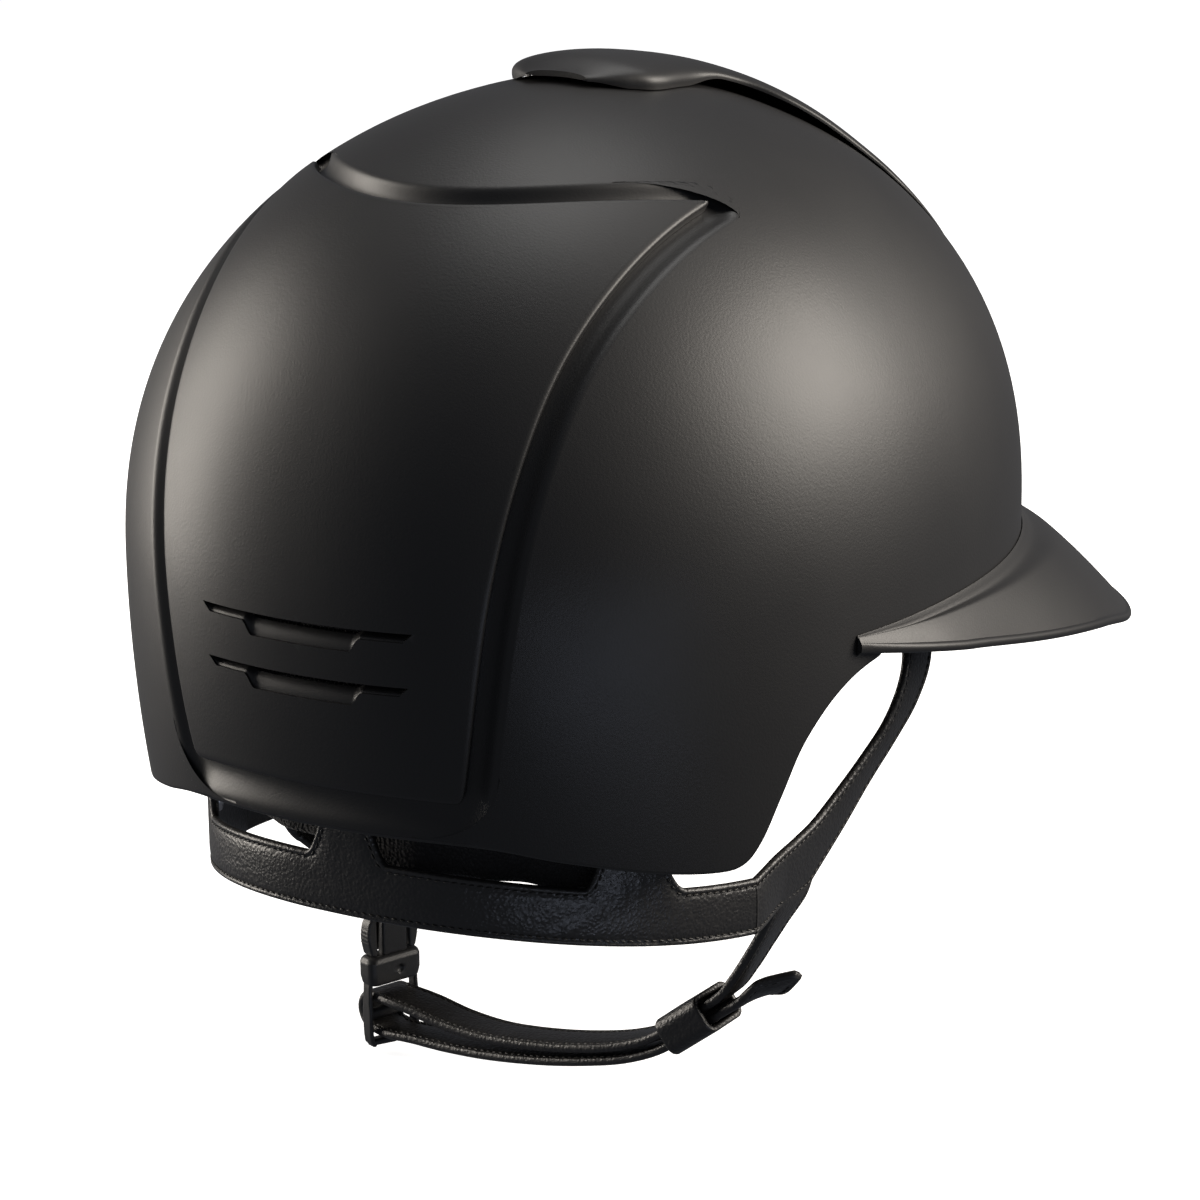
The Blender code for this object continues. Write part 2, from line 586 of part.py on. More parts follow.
def comfort_pads():
    """Padding that peels off its hook patches; angles run from the brow."""
    hook_depths = LINER_IN + 2 * GAP, PAD_OUT - GAP
    patch("brow_pad", *BROW_PAD, PAD_OUT, PAD_IN, 15, 4, **TEXTILE)
    patch("nape_pad", *NAPE_PAD, PAD_OUT, PAD_IN, 13, 4, **TEXTILE)
    for side, low in SIDE_PAD_START.items():
        angles = low, low + SIDE_PAD_SPAN
        patch(f"side_pad_{side}", angles, SIDE_PAD_LEVELS, PAD_OUT, PAD_IN, 7, 5, **TEXTILE)
    crown_patch("crown_pad", *CROWN_PAD_HALF, (PAD_OUT, PAD_IN), 7, 13, **TEXTILE)
    crown_patch("hook_patch_crown", *CROWN_PATCH_HALF, hook_depths, 4, 5, **NYLON)
    for name, angle, share in HOOK_PLACES:
        angles = angle - HOOK_HALF_ANGLE, angle + HOOK_HALF_ANGLE
        levels = share - HOOK_HALF_LEVEL, share + HOOK_HALF_LEVEL
        patch(f"hook_patch_{name}", angles, levels, *hook_depths, 3, 3, **NYLON)


# ---------------------------------------------------------------- the harness

def band_line(x, inwards=0.0):
    half, rear = BAND_HALF_WIDTH - inwards, BAND_REAR - inwards
    share = np.abs(x) / BAND_HALF_WIDTH
    return x * half / BAND_HALF_WIDTH, rear * (1 - share**BAND_EXPONENT) ** (1 / BAND_EXPONENT)


def nape_band():
    """Leather band behind the head with three tabs up to the shell."""
    low_tab, high_tab = SIDE_TAB
    half = [0, CENTRE_TAB, CENTRE_TAB + TAB_FLANK, 0.017, 0.026, 0.035, 0.044, 0.051,
            low_tab - TAB_FLANK, low_tab, 0.063, high_tab, high_tab + TAB_FLANK, 0.0725, 0.0758, BAND_END_X]
    x = np.array([-v for v in half[:0:-1]] + half)
    share = np.abs(x) / BAND_END_X
    low = BAND_LOW - BAND_LOW_DROP * share**BAND_LOW_POWER
    top = BAND_TOP - BAND_TOP_DROP * share**BAND_TOP_POWER
    top[np.abs(x) <= CENTRE_TAB] = CENTRE_TAB_TOP
    top[(np.abs(x) >= low_tab) & (np.abs(x) <= high_tab)] = SIDE_TAB_TOP
    grids = []
    for inwards in (-LEATHER / 2, LEATHER / 2):
        across, along = band_line(x, inwards)
        grids.append(np.array([np.stack([across, along, z], -1) for z in (low, (low + top) / 2, top)]))
    return slab("nape_band", grids[0], grids[1], **HIDE)


def yoke_x(y, z):
    """How far out the side straps lie, drawn in to meet the nape band."""
    spread = np.array(YOKE_SPREAD)
    out = np.interp(z, spread[:, 0], spread[:, 1])
    end_x = BAND_HALF_WIDTH * (1 - (YOKE_END_Y / BAND_REAR) ** BAND_EXPONENT) ** (1 / BAND_EXPONENT)
    share = ease(y, YOKE_END_BLEND, YOKE_END_Y)
    return out * (1 - share) + end_x * share


def yoke(side_name, side):
    """Front strap from the brow that widens to meet the nape band and the chin strap."""
    rear, front = smooth(YOKE_REAR_EDGE, 18), smooth(YOKE_FRONT_EDGE, 18)[::-1]
    columns = []
    for share in np.linspace(0, 1, 5):
        columns.append(rear * (1 - share) + front * share)
    plan = np.array(columns)
    x = yoke_x(plan[..., 0], plan[..., 1])
    grids = [np.stack([side * (x + lift), plan[..., 0], plan[..., 1]], -1) for lift in (LEATHER / 2, -LEATHER / 2)]
    made = slab(f"yoke_strap_{side_name}", grids[0], grids[1], **HIDE)
    start = (side * 0.06, *Y_AXIS)
    knuckle = turned(f"cut_knuckle_{side_name}", start, (side, 0, 0),
                     ((0, KNUCKLE + KNUCKLE_GAP), (0.04, KNUCKLE + KNUCKLE_GAP)), 32)
    return boolean(made, helper(knuckle))


def rivet(name, centre, axis, radius):
    """A domed rivet head whose flat lies on a strap's inner face."""
    axis = np.asarray(axis, float) / np.linalg.norm(axis)
    start = np.asarray(centre, float) + axis * (LEATHER / 2 + GAP)
    steps = ((0, radius), (RIVET_RISE, radius), (RIVET_CROWN, RIVET_CROWN_SHARE * radius))
    return turned(name, start, axis, steps, 20, **STEEL)


def rivets():
    """Rivet heads that hold the harness to the liner and the shell."""
    y, z, front_radius = FRONT_RIVET
    side_z, side_radius = SIDE_RIVET
    nape_z, nape_radius = NAPE_RIVET
    step = 0.001
    x = float(yoke_x(y, z))
    lean = float(yoke_x(y, z + step) - yoke_x(y, z - step)) / (2 * step)
    middle = sum(SIDE_TAB) / 2
    near, spot, far = (np.array(band_line(np.array(middle + d))) for d in (-step, 0.0, step))
    run = far - near
    for name, side in (("left", 1), ("right", -1)):
        rivet(f"front_rivet_{name}", (side * x, y, z), (-side, 0, lean), front_radius)
        place, square = (side * spot[0], spot[1], side_z), (side * run[1], -run[0], 0)
        rivet(f"side_rivet_{name}", place, square, side_radius)
    rivet("nape_rivet", (0, BAND_REAR, nape_z), (0, -1, 0), nape_radius)


def routed(points, straight_from, count):
    """A smooth route that keeps one span straight for the keeper to slide on."""
    before = smooth(points[:straight_from + 1], count // 2)
    after = smooth(points[straight_from + 1:], count)
    return np.vstack([before, after])


def strap(name, centres, widths, origin=(0, 0, 0), across=(0, 1, 0), **look):
    """A flat strap along a route whose width lies along the buckle's or the body's Y."""
    centres = np.asarray(centres, float)
    along = np.gradient(centres, axis=0)
    across = np.broadcast_to(np.asarray(across, float), centres.shape)
    across = across - along * (np.sum(across * along, 1) / np.sum(along * along, 1))[:, None]
    across = across / np.linalg.norm(across, axis=1, keepdims=True)
    normal = np.cross(along, across)
    normal /= np.linalg.norm(normal, axis=1, keepdims=True)
    half = np.broadcast_to(np.asarray(widths, float) / 2, (len(centres),))[:, None]
    outer = np.stack([centres - across * half, centres + across * half], 1) + normal[:, None] * LEATHER / 2
    inner = outer - normal[:, None] * LEATHER
    return slab(name, outer, inner, origin=origin, **look)


def knuckle_disc(name, side):
    """A round leather end on the axis that a strap swings on."""
    start = (side * (abs(CHIN_MAIN[0][0]) - LEATHER / 2), *Y_AXIS)
    return turned(name, start, (side, 0, 0), ((0, KNUCKLE), (LEATHER, KNUCKLE)), 32)


def chin_strap():
    """Main strap from the right yoke, and the end that comes back from the buckle through the keeper."""
    origin = (0, *Y_AXIS)
    main = strap("chin_strap", routed(CHIN_MAIN, 4, 18), STRAP_WIDTH, origin, **HIDE)
    boolean(main, helper(knuckle_disc("join_right", -1)), "UNION")
    centres = routed(CHIN_RETURN, 2, 16)
    widths = np.full(len(centres), STRAP_WIDTH - TAIL_NARROWER)
    widths[:2] = TAIL_POINT
    strap("chin_strap_end", centres, widths, origin, **HIDE)


def keeper():
    """Leather loop that holds both layers and slides along them."""
    along = np.array(KEEPER_ALONG)
    across = np.array([0, 1, 0])
    out = np.cross(along, across)
    outline = []
    wide, tall = KEEPER_INSIDE
    for extra, count in ((KEEPER_WALL, 6), (0, 6)):
        half_wide, half_tall, corner = wide / 2 + extra, tall / 2 + extra, KEEPER_CORNER + extra
        ring = []
        for quarter, (sx, sy) in enumerate(((1, 1), (-1, 1), (-1, -1), (1, -1))):
            for a in np.linspace(0, math.pi / 2, count) + quarter * math.pi / 2:
                ring.append((sx * (half_wide - corner) + corner * math.cos(a),
                             sy * (half_tall - corner) + corner * math.sin(a)))
        outline.append(np.array(ring))
    centre = np.array(KEEPER_CENTRE)
    rings = []
    for ring, end in ((outline[0], -0.5), (outline[0], 0.5), (outline[1], 0.5), (outline[1], -0.5)):
        rings.append(centre + along * end * KEEPER_LENGTH + ring[:, :1] * across + ring[:, 1:] * out)
    count = len(outline[0])
    faces = skin(4, count, wrap=True)
    faces += [(3 * count + i, 3 * count + (i + 1) % count, (i + 1) % count, i) for i in range(count)]
    return facing_out(solid("strap_keeper", np.vstack(rings), faces, origin=KEEPER_CENTRE, **HIDE))


# ---------------------------------------------------------------- the buckle

ACROSS = np.array([math.sin(BUCKLE_YAW), math.cos(BUCKLE_YAW), 0])
OUT = np.array([-math.cos(BUCKLE_YAW), math.sin(BUCKLE_YAW), 0])


def in_buckle(across, out, z):
    return np.array([*BUCKLE_FOOT, 0]) + across * ACROSS + out * OUT + np.array([0, 0, z])


def block(name, across, out, z, origin=(0, 0, 0), **look):
    """A box from (low, high) pairs across, out of and up the buckle."""
    corners = [in_buckle(u, v, w) for u in across for v in out for w in z]
    faces = [(0, 1, 3, 2), (4, 6, 7, 5), (0, 4, 5, 1), (2, 3, 7, 6), (0, 2, 6, 4), (1, 5, 7, 3)]
    return facing_out(solid(name, corners, faces, origin=origin, **look))


def both(half):
    return (-half, half)


def buckle_socket():
    """Upper half: a head with a strap bar, and two plates with open sides for the prongs."""
    half, depth = SOCKET_SIZE[0] / 2, SOCKET_SIZE[1] / 2
    socket = block("buckle_socket", both(half), both(depth), (SOCKET_SHOULDER, SOCKET_TOP),
                   origin=(0, *Y_AXIS), **NYLON)
    face = depth - PLATE_SET_BACK
    plates = block("join_plates", both(PLATE_HALF), both(face), (BASE_TOP + GAP, SOCKET_SHOULDER + OVERLAP))
    boolean(socket, helper(plates), "UNION")
    room = both(PLATE_HALF + OVERLAP), both(face - PLATE_WALL), (BASE_TOP, SOCKET_SHOULDER + SLOT_HEADROOM)
    boolean(socket, helper(block("cut_tongue_slot", *room)))
    low, high = (SOCKET_TOP - drop for drop in STRAP_SLOT_DROPS)
    bar_slot = block("cut_bar_slot", both(half - STRAP_SLOT_SIDE), both(THROUGH), (low, high))
    return boolean(socket, helper(bar_slot))


def buckle_plug():
    """Lower half: a base with a tongue, and a ladder frame that the chin strap threads."""
    half, depth = BASE_SIZE[0] / 2, BASE_SIZE[1] / 2
    origin = tuple(in_buckle(0, 0, BASE_TOP))
    foot = BASE_TOP - BASE_DROP
    plug = block("buckle_plug", both(half), both(depth), (foot, BASE_TOP), origin=origin, **NYLON)
    reach = (BASE_TOP - OVERLAP, SOCKET_SHOULDER - 2 * GAP)
    tongue = block("join_tongue", both(TONGUE_HALF), both(TONGUE_WALL / 2), reach)
    boolean(plug, helper(tongue), "UNION")
    side = half - LADDER_INSET
    frame = block("join_ladder", both(side), both(LADDER_HALF_DEPTH), (LADDER_FOOT, foot + OVERLAP))
    boolean(plug, helper(frame), "UNION")
    inside = both(side - LADDER_SIDE)
    slots = (("upper", BAR_HIGH, foot - LADDER_INSET), ("lower", LADDER_FOOT + LADDER_FOOT_BAR, BAR_LOW))
    for name, low, high in slots:
        boolean(plug, helper(block(f"cut_{name}_slot", inside, both(THROUGH), (low, high))))
    above = in_buckle(DIMPLE_ASIDE, depth + LADDER_INSET, BASE_TOP - DIMPLE_DROP)
    steps = (0, DIMPLE_RADIUS), (LADDER_INSET + DIMPLE_DEPTH, DIMPLE_RADIUS)
    return boolean(plug, helper(turned("cut_dimple", above, -OUT, steps, 16)))


def prongs():
    """Two sprung arms that the fingers squeeze in through the socket's open sides."""
    for name, side in (("front", -1), ("rear", 1)):
        foot = (PRONG_PLACE * side, 0, BASE_TOP + GAP)
        low, high = BASE_TOP + GAP, SOCKET_SHOULDER - GAP
        points = []
        for share in np.linspace(0, 1, PRONG_STATIONS):
            z = low + share * (high - low)
            bow = PRONG_BOW * math.sin(math.pi * share)
            inner = PRONG_PLACE * side - side * PRONG_WALL / 2
            outer = PRONG_PLACE * side + side * (PRONG_WALL / 2 + bow)
            depth = PRONG_DEPTH / 2
            section = (inner, -depth), (outer, -depth), (outer, depth), (inner, depth)
            points += [in_buckle(u, v, z) for u, v in section]
        last = 4 * (PRONG_STATIONS - 1)
        faces = skin(PRONG_STATIONS, 4, wrap=True) + [(3, 2, 1, 0), tuple(range(last, last + 4))]
        origin = tuple(in_buckle(*foot))
        facing_out(solid(f"buckle_prong_{name}", points, faces, origin=origin, **NYLON))


def strap_loop():
    """The strap's turn round the ladder's middle bar, which moves with the buckle's plug."""
    start_u, end_u = np.array(CHIN_MAIN[-1]), np.array(CHIN_RETURN[-1])
    ahead = np.array([GAP + 0.0001, 0, 0])
    centre = in_buckle(0, 0, 0)
    radius = (start_u[2] - end_u[2]) / 2
    middle = (start_u[2] + end_u[2]) / 2
    far, near = LOOP_INSETS
    route = [start_u + ahead, in_buckle(0, far, start_u[2]), in_buckle(0, near, start_u[2])]
    for a in np.linspace(LOOP_TURN, math.pi - LOOP_TURN, 7):
        height = np.array([0, 0, middle + radius * math.cos(a)])
        route.append(centre - OUT * (LOOP_NEAR + LOOP_REACH * math.sin(a)) + height)
    route += [in_buckle(0, near, end_u[2]), in_buckle(0, far, end_u[2]), end_u + ahead]
    origin = tuple(in_buckle(0, 0, BASE_TOP))
    return strap("strap_loop", route, STRAP_WIDTH - SHORT_NARROWER, origin, across=ACROSS, **HIDE)


def short_strap():
    """Left strap from the yoke to the buckle's socket."""
    route, width = smooth(SHORT_STRAP, 10), STRAP_WIDTH - SHORT_NARROWER
    made = strap("short_strap", route, width, (0, *Y_AXIS), across=ACROSS, **HIDE)
    return boolean(made, helper(knuckle_disc("join_left", 1)), "UNION")


# ---------------------------------------------------------------- assembly

helmet = outer_shell(rim_cutter("cut_shell_rim", 0.0))
rear_panel()
window = WINDOW_HALF - GAP, WINDOW_LOW + GAP, WINDOW_HIGH - GAP
wall_plate("rear_vent_mesh", *window, 1, REAR_MESH_DEPTHS, **NYLON)
front_panel()
window = INTAKE_HALF - GAP, INTAKE_LOW + 4 * GAP, INTAKE_HIGH - GAP
wall_plate("front_vent_mesh", *window, -1, FRONT_MESH_DEPTHS, **NYLON)
visor = peak()
foam = impact_liner()
peak_screws(helmet, visor, foam)
comfort_pads()
nape_band()
yoke("left", 1)
yoke("right", -1)
rivets()
short_strap()
chin_strap()
keeper()
buckle_socket()
buckle_plug()
prongs()
strap_loop()
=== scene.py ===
import math

import bpy
import numpy as np
from mathutils import Matrix, Vector


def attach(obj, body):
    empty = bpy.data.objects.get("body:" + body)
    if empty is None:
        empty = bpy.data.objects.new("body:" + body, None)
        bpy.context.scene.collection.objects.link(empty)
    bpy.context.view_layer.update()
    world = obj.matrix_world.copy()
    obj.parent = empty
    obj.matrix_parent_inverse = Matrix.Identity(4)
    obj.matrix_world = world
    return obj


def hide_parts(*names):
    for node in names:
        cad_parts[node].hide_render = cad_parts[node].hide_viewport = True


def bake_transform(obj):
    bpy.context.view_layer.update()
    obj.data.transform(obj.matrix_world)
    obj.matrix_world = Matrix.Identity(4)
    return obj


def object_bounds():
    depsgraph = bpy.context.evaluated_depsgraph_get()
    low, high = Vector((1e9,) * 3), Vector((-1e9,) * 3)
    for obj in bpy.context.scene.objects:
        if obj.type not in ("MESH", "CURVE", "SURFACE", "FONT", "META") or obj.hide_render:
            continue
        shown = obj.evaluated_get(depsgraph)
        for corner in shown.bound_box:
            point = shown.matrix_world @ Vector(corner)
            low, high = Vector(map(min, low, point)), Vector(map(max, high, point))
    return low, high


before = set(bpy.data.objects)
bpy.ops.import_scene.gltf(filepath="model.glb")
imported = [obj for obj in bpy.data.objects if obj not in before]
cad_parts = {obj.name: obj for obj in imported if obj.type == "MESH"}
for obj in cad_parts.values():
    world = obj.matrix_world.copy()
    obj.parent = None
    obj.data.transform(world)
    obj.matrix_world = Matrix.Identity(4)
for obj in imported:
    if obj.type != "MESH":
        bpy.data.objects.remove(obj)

cad_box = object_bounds()
scene = bpy.context.scene

# ---------------------------------------------------------------- studio
# A white sweep with the helmet just above it. Two tall soft boxes stand either side of its back,
# a third warms the brow, and a cool one fills the underside from near the floor.

AZIMUTH, ELEVATION, ROLL = math.radians(211.4), math.radians(16.2), math.radians(-0.7)
DISTANCE, LENS, SENSOR = 1.125, 126.36, 36.0
ASIDE, RAISED = 0.00417, 0.035
FLOOR_CLEARANCE, HALF_FLOOR, PAPER_WHITE, PAPER_GLOW = 0.0015, 12.0, 0.9, 0.82
AMBIENT, AMBIENT_STRENGTH = (0.72, 0.76, 0.86, 1), 0.16

back = Vector((math.sin(AZIMUTH) * math.cos(ELEVATION), -math.cos(AZIMUTH) * math.cos(ELEVATION),
               math.sin(ELEVATION)))
level_right = Vector((0, 0, 1)).cross(back).normalized()
level_up = back.cross(level_right)
right = level_right * math.cos(ROLL) + level_up * math.sin(ROLL)
up = level_up * math.cos(ROLL) - level_right * math.sin(ROLL)
camera = bpy.data.objects.new("camera", bpy.data.cameras.new("camera"))
scene.collection.objects.link(camera)
place = right * ASIDE + up * RAISED + back * DISTANCE
camera.matrix_world = Matrix.Translation(place) @ Matrix((right, up, back)).transposed().to_4x4()
camera.data.lens = LENS
camera.data.sensor_width = SENSOR
scene.camera = camera
scene.view_settings.view_transform = "Standard"

world = bpy.data.worlds.new("studio")
scene.world = world
world.use_nodes = True
tree = world.node_tree
tree.nodes.clear()
sky = tree.nodes.new("ShaderNodeOutputWorld")
seen, given = (tree.nodes.new("ShaderNodeBackground") for _ in range(2))
seen.inputs["Color"].default_value = (1, 1, 1, 1)
given.inputs["Color"].default_value = AMBIENT
given.inputs["Strength"].default_value = AMBIENT_STRENGTH
path = tree.nodes.new("ShaderNodeLightPath")
pick = tree.nodes.new("ShaderNodeMixShader")
tree.links.new(path.outputs["Is Camera Ray"], pick.inputs["Fac"])
tree.links.new(given.outputs["Background"], pick.inputs[1])
tree.links.new(seen.outputs["Background"], pick.inputs[2])
tree.links.new(pick.outputs["Shader"], sky.inputs["Surface"])


def soft_box(name, azimuth, elevation, distance, size, power, colour, aim=(0, 0, 0.07)):
    """An area light; azimuth 0 stands before the brow and 90 at the wearer's left."""
    data = bpy.data.lights.new(name, "AREA")
    data.shape = "RECTANGLE"
    data.size, data.size_y = size
    data.energy = power
    data.color = colour
    lamp = bpy.data.objects.new(name, data)
    scene.collection.objects.link(lamp)
    a, e = math.radians(azimuth), math.radians(elevation)
    away = Vector((math.sin(a) * math.cos(e), -math.cos(a) * math.cos(e), math.sin(e)))
    lamp.location = Vector(aim) + away * distance
    lamp.rotation_euler = away.to_track_quat("Z", "Y").to_euler()


WARM, COOL, NEUTRAL = (1.0, 0.93, 0.84), (0.72, 0.80, 1.0), (1.0, 0.985, 0.96)
soft_box("box_left", 104, 12, 1.2, (0.55, 1.0), 17, WARM)
soft_box("box_right", -60, 26, 1.2, (0.7, 0.7), 22, WARM)
soft_box("box_top", 20, 75, 1.3, (0.7, 0.9), 6, NEUTRAL)
soft_box("box_low", -128, -16, 1.2, (0.9, 0.3), 3, COOL)

floor_mesh = bpy.data.meshes.new("floor")
low_z = cad_box[0].z - FLOOR_CLEARANCE
corners = [(x * HALF_FLOOR, y * HALF_FLOOR, low_z) for x, y in ((-1, -1), (1, -1), (1, 1), (-1, 1))]
floor_mesh.from_pydata(corners, [], [(0, 1, 2, 3)])
floor = bpy.data.objects.new("floor", floor_mesh)
scene.collection.objects.link(floor)
paper = bpy.data.materials.new("paper_sweep")
paper.use_nodes = True
shader = paper.node_tree.nodes["Principled BSDF"]
shader.inputs["Base Color"].default_value = (PAPER_WHITE, PAPER_WHITE, PAPER_WHITE, 1)
shader.inputs["Roughness"].default_value = 0.9
shader.inputs["Emission Color"].default_value = (1, 1, 1, 1)
shader.inputs["Emission Strength"].default_value = PAPER_GLOW
# seen from beneath, the paper is clear
sheet, output = paper.node_tree, paper.node_tree.nodes["Material Output"]
faced = sheet.nodes.new("ShaderNodeNewGeometry")
clear, either = sheet.nodes.new("ShaderNodeBsdfTransparent"), sheet.nodes.new("ShaderNodeMixShader")
for start, end in ((faced.outputs["Backfacing"], either.inputs[0]), (shader.outputs[0], either.inputs[1]),
                   (clear.outputs[0], either.inputs[2]), (either.outputs[0], output.inputs["Surface"])):
    sheet.links.new(start, end)
floor_mesh.materials.append(paper)
floor.visible_glossy = False
floor.visible_diffuse = False

# ---------------------------------------------------------------- outer shell
# Injected ABS, painted satin black, 3 mm thick. A sunk pocket takes the rear insert, with a soft
# channel all round it, and a vent window is cut through the pocket's floor.

DOME_HALF_WIDTH, DOME_FRONT, DOME_REAR = 0.108, 0.1325, 0.1295
DOME_WIDEST_Z, DOME_RISE, PLAN_EXPONENT, TUCK_DEPTH = 0.060, 0.1155, 2.15, 0.050
SIDE_PROFILE, FRONT_PROFILE, REAR_PROFILE = (2.24, 1.88, 0.010), (2.25, 1.91, 0.0), (2.20, 2.11, 0.040)
RIM = ((0.140, 0.0112), (0.119, 0.0102), (0.106, 0.0057), (0.091, 0.0012), (0.078, -0.0010),
       (0.0715, -0.0002), (0.0675, 0.0050), (0.063, 0.0160), (0.057, 0.0285), (0.0465, 0.0390),
       (0.033, 0.0445), (0.010, 0.0465), (-0.150, 0.0465))
REAR_FACING, REAR_BOTTOM, REAR_TOP = math.radians(40), (-0.0645, 2.5), (0.0706, 7.8)
REAR_SIDE = ((0.0385, -0.0640), (0.0425, -0.0480), (0.0470, -0.0220), (0.0504, 0.0060),
             (0.0530, 0.0360), (0.0560, 0.0650), (0.0590, 0.0980))
SEGMENTS = (48, 144, 96, 144, 48)
CORNER_SOFTNESS = 0.0016
CHANNEL = ((0.0, 3.0), (0.5, 3.0), (1.1, 2.98), (1.7, 2.9), (2.3, 2.72), (2.9, 2.42), (3.4, 2.05), (3.9, 1.6),
           (4.4, 1.1), (4.8, 0.7), (5.2, 0.38), (5.6, 0.17), (6.0, 0.06), (6.5, 0.0))
OVER_RINGS, EVENING_STEPS, EVENING_REACH = 60, 400, 0.11
DOME_MIDDLE = np.array([0, 0, 0.05])
RIM_EDGE = ((0.0006, 0.0001), (0.0002, 0.0004), (0.0, 0.0009), (0.0, 0.0021), (0.0002, 0.0026), (0.0006, 0.0029),
            (0.0012, 0.003))
SHELL_WALL, POCKET_FLOOR = 0.003, 0.006
WINDOW = (0.0335, 0.0420, 0.0665)
EAR_SHARE, BROW_SHARE = 0.11, 0.62


def profile(z, shape):
    """How much of its widest half axis the dome has at height z."""
    power, root, tuck = shape
    above = np.clip((z - DOME_WIDEST_Z) / DOME_RISE, 0, 1)
    below = np.clip(DOME_WIDEST_Z - z, 0, None) / TUCK_DEPTH
    return np.where(z > DOME_WIDEST_Z, (1 - above**power) ** (1 / root), 1 - tuck * below**2)


def dome(angle, z):
    """Points of the dome's outer surface; the angle runs from the brow towards +X."""
    angle, z = np.broadcast_arrays(np.asarray(angle, float), np.asarray(z, float))
    side, front = DOME_HALF_WIDTH * profile(z, SIDE_PROFILE), DOME_FRONT * profile(z, FRONT_PROFILE)
    rear = DOME_REAR * profile(z, REAR_PROFILE)
    across, along = np.sin(angle), np.cos(angle)
    power = 2 / PLAN_EXPONENT
    x = side * np.sign(across) * np.abs(across) ** power
    y = np.where(along > 0, -front, rear) * np.abs(along) ** power
    return np.stack([x, y, z], -1)


def outside(points):
    """Zero on the dome, negative inside it."""
    x, y, z = np.moveaxis(np.asarray(points, float), -1, 0)
    side = np.maximum(DOME_HALF_WIDTH * profile(z, SIDE_PROFILE), 1e-6)
    length = np.where(y < 0, DOME_FRONT * profile(z, FRONT_PROFILE), DOME_REAR * profile(z, REAR_PROFILE))
    value = (np.abs(x) / side) ** PLAN_EXPONENT + (np.abs(y) / np.maximum(length, 1e-6)) ** PLAN_EXPONENT - 1
    return np.where(z >= DOME_WIDEST_Z + DOME_RISE, 9.0, np.minimum(value, 9.0))


def outward(points):
    """Unit normals of the dome at points on it."""
    inner = np.asarray(points, float) * (1 - 1e-4)
    slope = np.stack([outside(inner + 2e-5 * axis) - outside(inner - 2e-5 * axis) for axis in np.eye(3)], -1)
    return slope / np.maximum(np.linalg.norm(slope, axis=-1, keepdims=True), 1e-12)


def shifted(points, inwards):
    return points - outward(points) * np.broadcast_to(inwards, points.shape[:-1])[..., None]


def cast(starts, direction):
    """Where rays from points inside the dome leave it."""
    shape = np.broadcast_shapes(np.shape(starts)[:-1], np.shape(direction)[:-1])
    near, far = np.zeros(shape), np.full(shape, 0.3)
    for _ in range(36):
        middle = (near + far) / 2
        inside = outside(starts + middle[..., None] * direction) < 0
        near, far = np.where(inside, middle, near), np.where(inside, far, middle)
    return starts + near[..., None] * direction


def smooth(points, count):
    """A Catmull-Rom curve through the points, evenly spaced by number."""
    points = np.asarray(points, float)
    padded = np.vstack([2 * points[0] - points[1], points, 2 * points[-1] - points[-2]])
    spot = np.linspace(0, len(points) - 1, count)
    first = np.minimum(spot.astype(int), len(points) - 2)
    t = (spot - first)[:, None]
    a, b, c, d = (padded[first + i] for i in range(4))
    return 0.5 * (2 * b + (c - a) * t + (2 * a - 5 * b + 4 * c - d) * t**2 + (3 * b - a - 3 * c + d) * t**3)


def ease(value, low, high):
    t = np.clip((np.asarray(value, float) - low) / (high - low), 0, 1)
    return t * t * (3 - 2 * t)


def lengths(line, closed=False):
    """Distance along a line of points, from its first."""
    line = np.vstack([line, line[:1]]) if closed else np.asarray(line)
    return np.concatenate([[0], np.cumsum(np.linalg.norm(np.diff(line, axis=0), axis=1))])


def softened(line, sigma, closed=True):
    """The line after a running average over sigma samples."""
    reach = int(3 * sigma) + 1
    weights = np.exp(-0.5 * (np.arange(-reach, reach + 1) / sigma) ** 2)
    padded = np.pad(line, ((reach, reach), (0, 0)), mode="wrap" if closed else "reflect")
    return np.stack([np.convolve(padded[:, i], weights / weights.sum(), "valid") for i in range(line.shape[1])], 1)


def insert_outline():
    """The insert's outline as (across, up), from the middle of its foot round by the wearer's left."""
    side = smooth(REAR_SIDE, 400)
    foot = REAR_BOTTOM[0] + REAR_BOTTOM[1] * side[:, 0] ** 2
    head = REAR_TOP[0] + REAR_TOP[1] * side[:, 0] ** 2
    side = side[(side[:, 1] > foot) & (side[:, 1] < head)]
    low = np.linspace(0, side[0, 0], 200, endpoint=False)
    high = np.linspace(side[-1, 0], 0, 300, endpoint=False)[1:]
    half = np.vstack([np.stack([low, REAR_BOTTOM[0] + REAR_BOTTOM[1] * low**2], 1), side,
                      np.stack([high, REAR_TOP[0] + REAR_TOP[1] * high**2], 1)])
    corners = [low.size, low.size + len(side) - 1]
    line = np.vstack([half, [[0, REAR_TOP[0]]], half[:0:-1] * (-1, 1)])
    run = lengths(line, closed=True)
    total = run[-1]
    marks = np.array([0, run[corners[0]], run[corners[1]], total - run[corners[1]], total - run[corners[0]], total])
    even = np.linspace(0, total, 4000, endpoint=False)
    looped = np.vstack([line, line[:1]])
    fine = np.stack([np.interp(even, run, looped[:, i]) for i in range(2)], 1)
    fine = softened(fine, CORNER_SOFTNESS / (total / 4000))
    spots = np.concatenate([np.linspace(a, b, n, endpoint=False) for a, b, n in zip(marks, marks[1:], SEGMENTS)])
    ahead = np.roll(fine, -3, 0) - np.roll(fine, 3, 0)
    ahead /= np.linalg.norm(ahead, axis=1, keepdims=True)
    normal = softened(np.stack([ahead[:, 1], -ahead[:, 0]], 1), 8)
    picked = [np.interp(spots, np.append(even, total), np.append(v, v[0])) for v in (*fine.T, *normal.T)]
    return np.stack(picked[:2], 1), np.stack(picked[2:], 1), spots / total


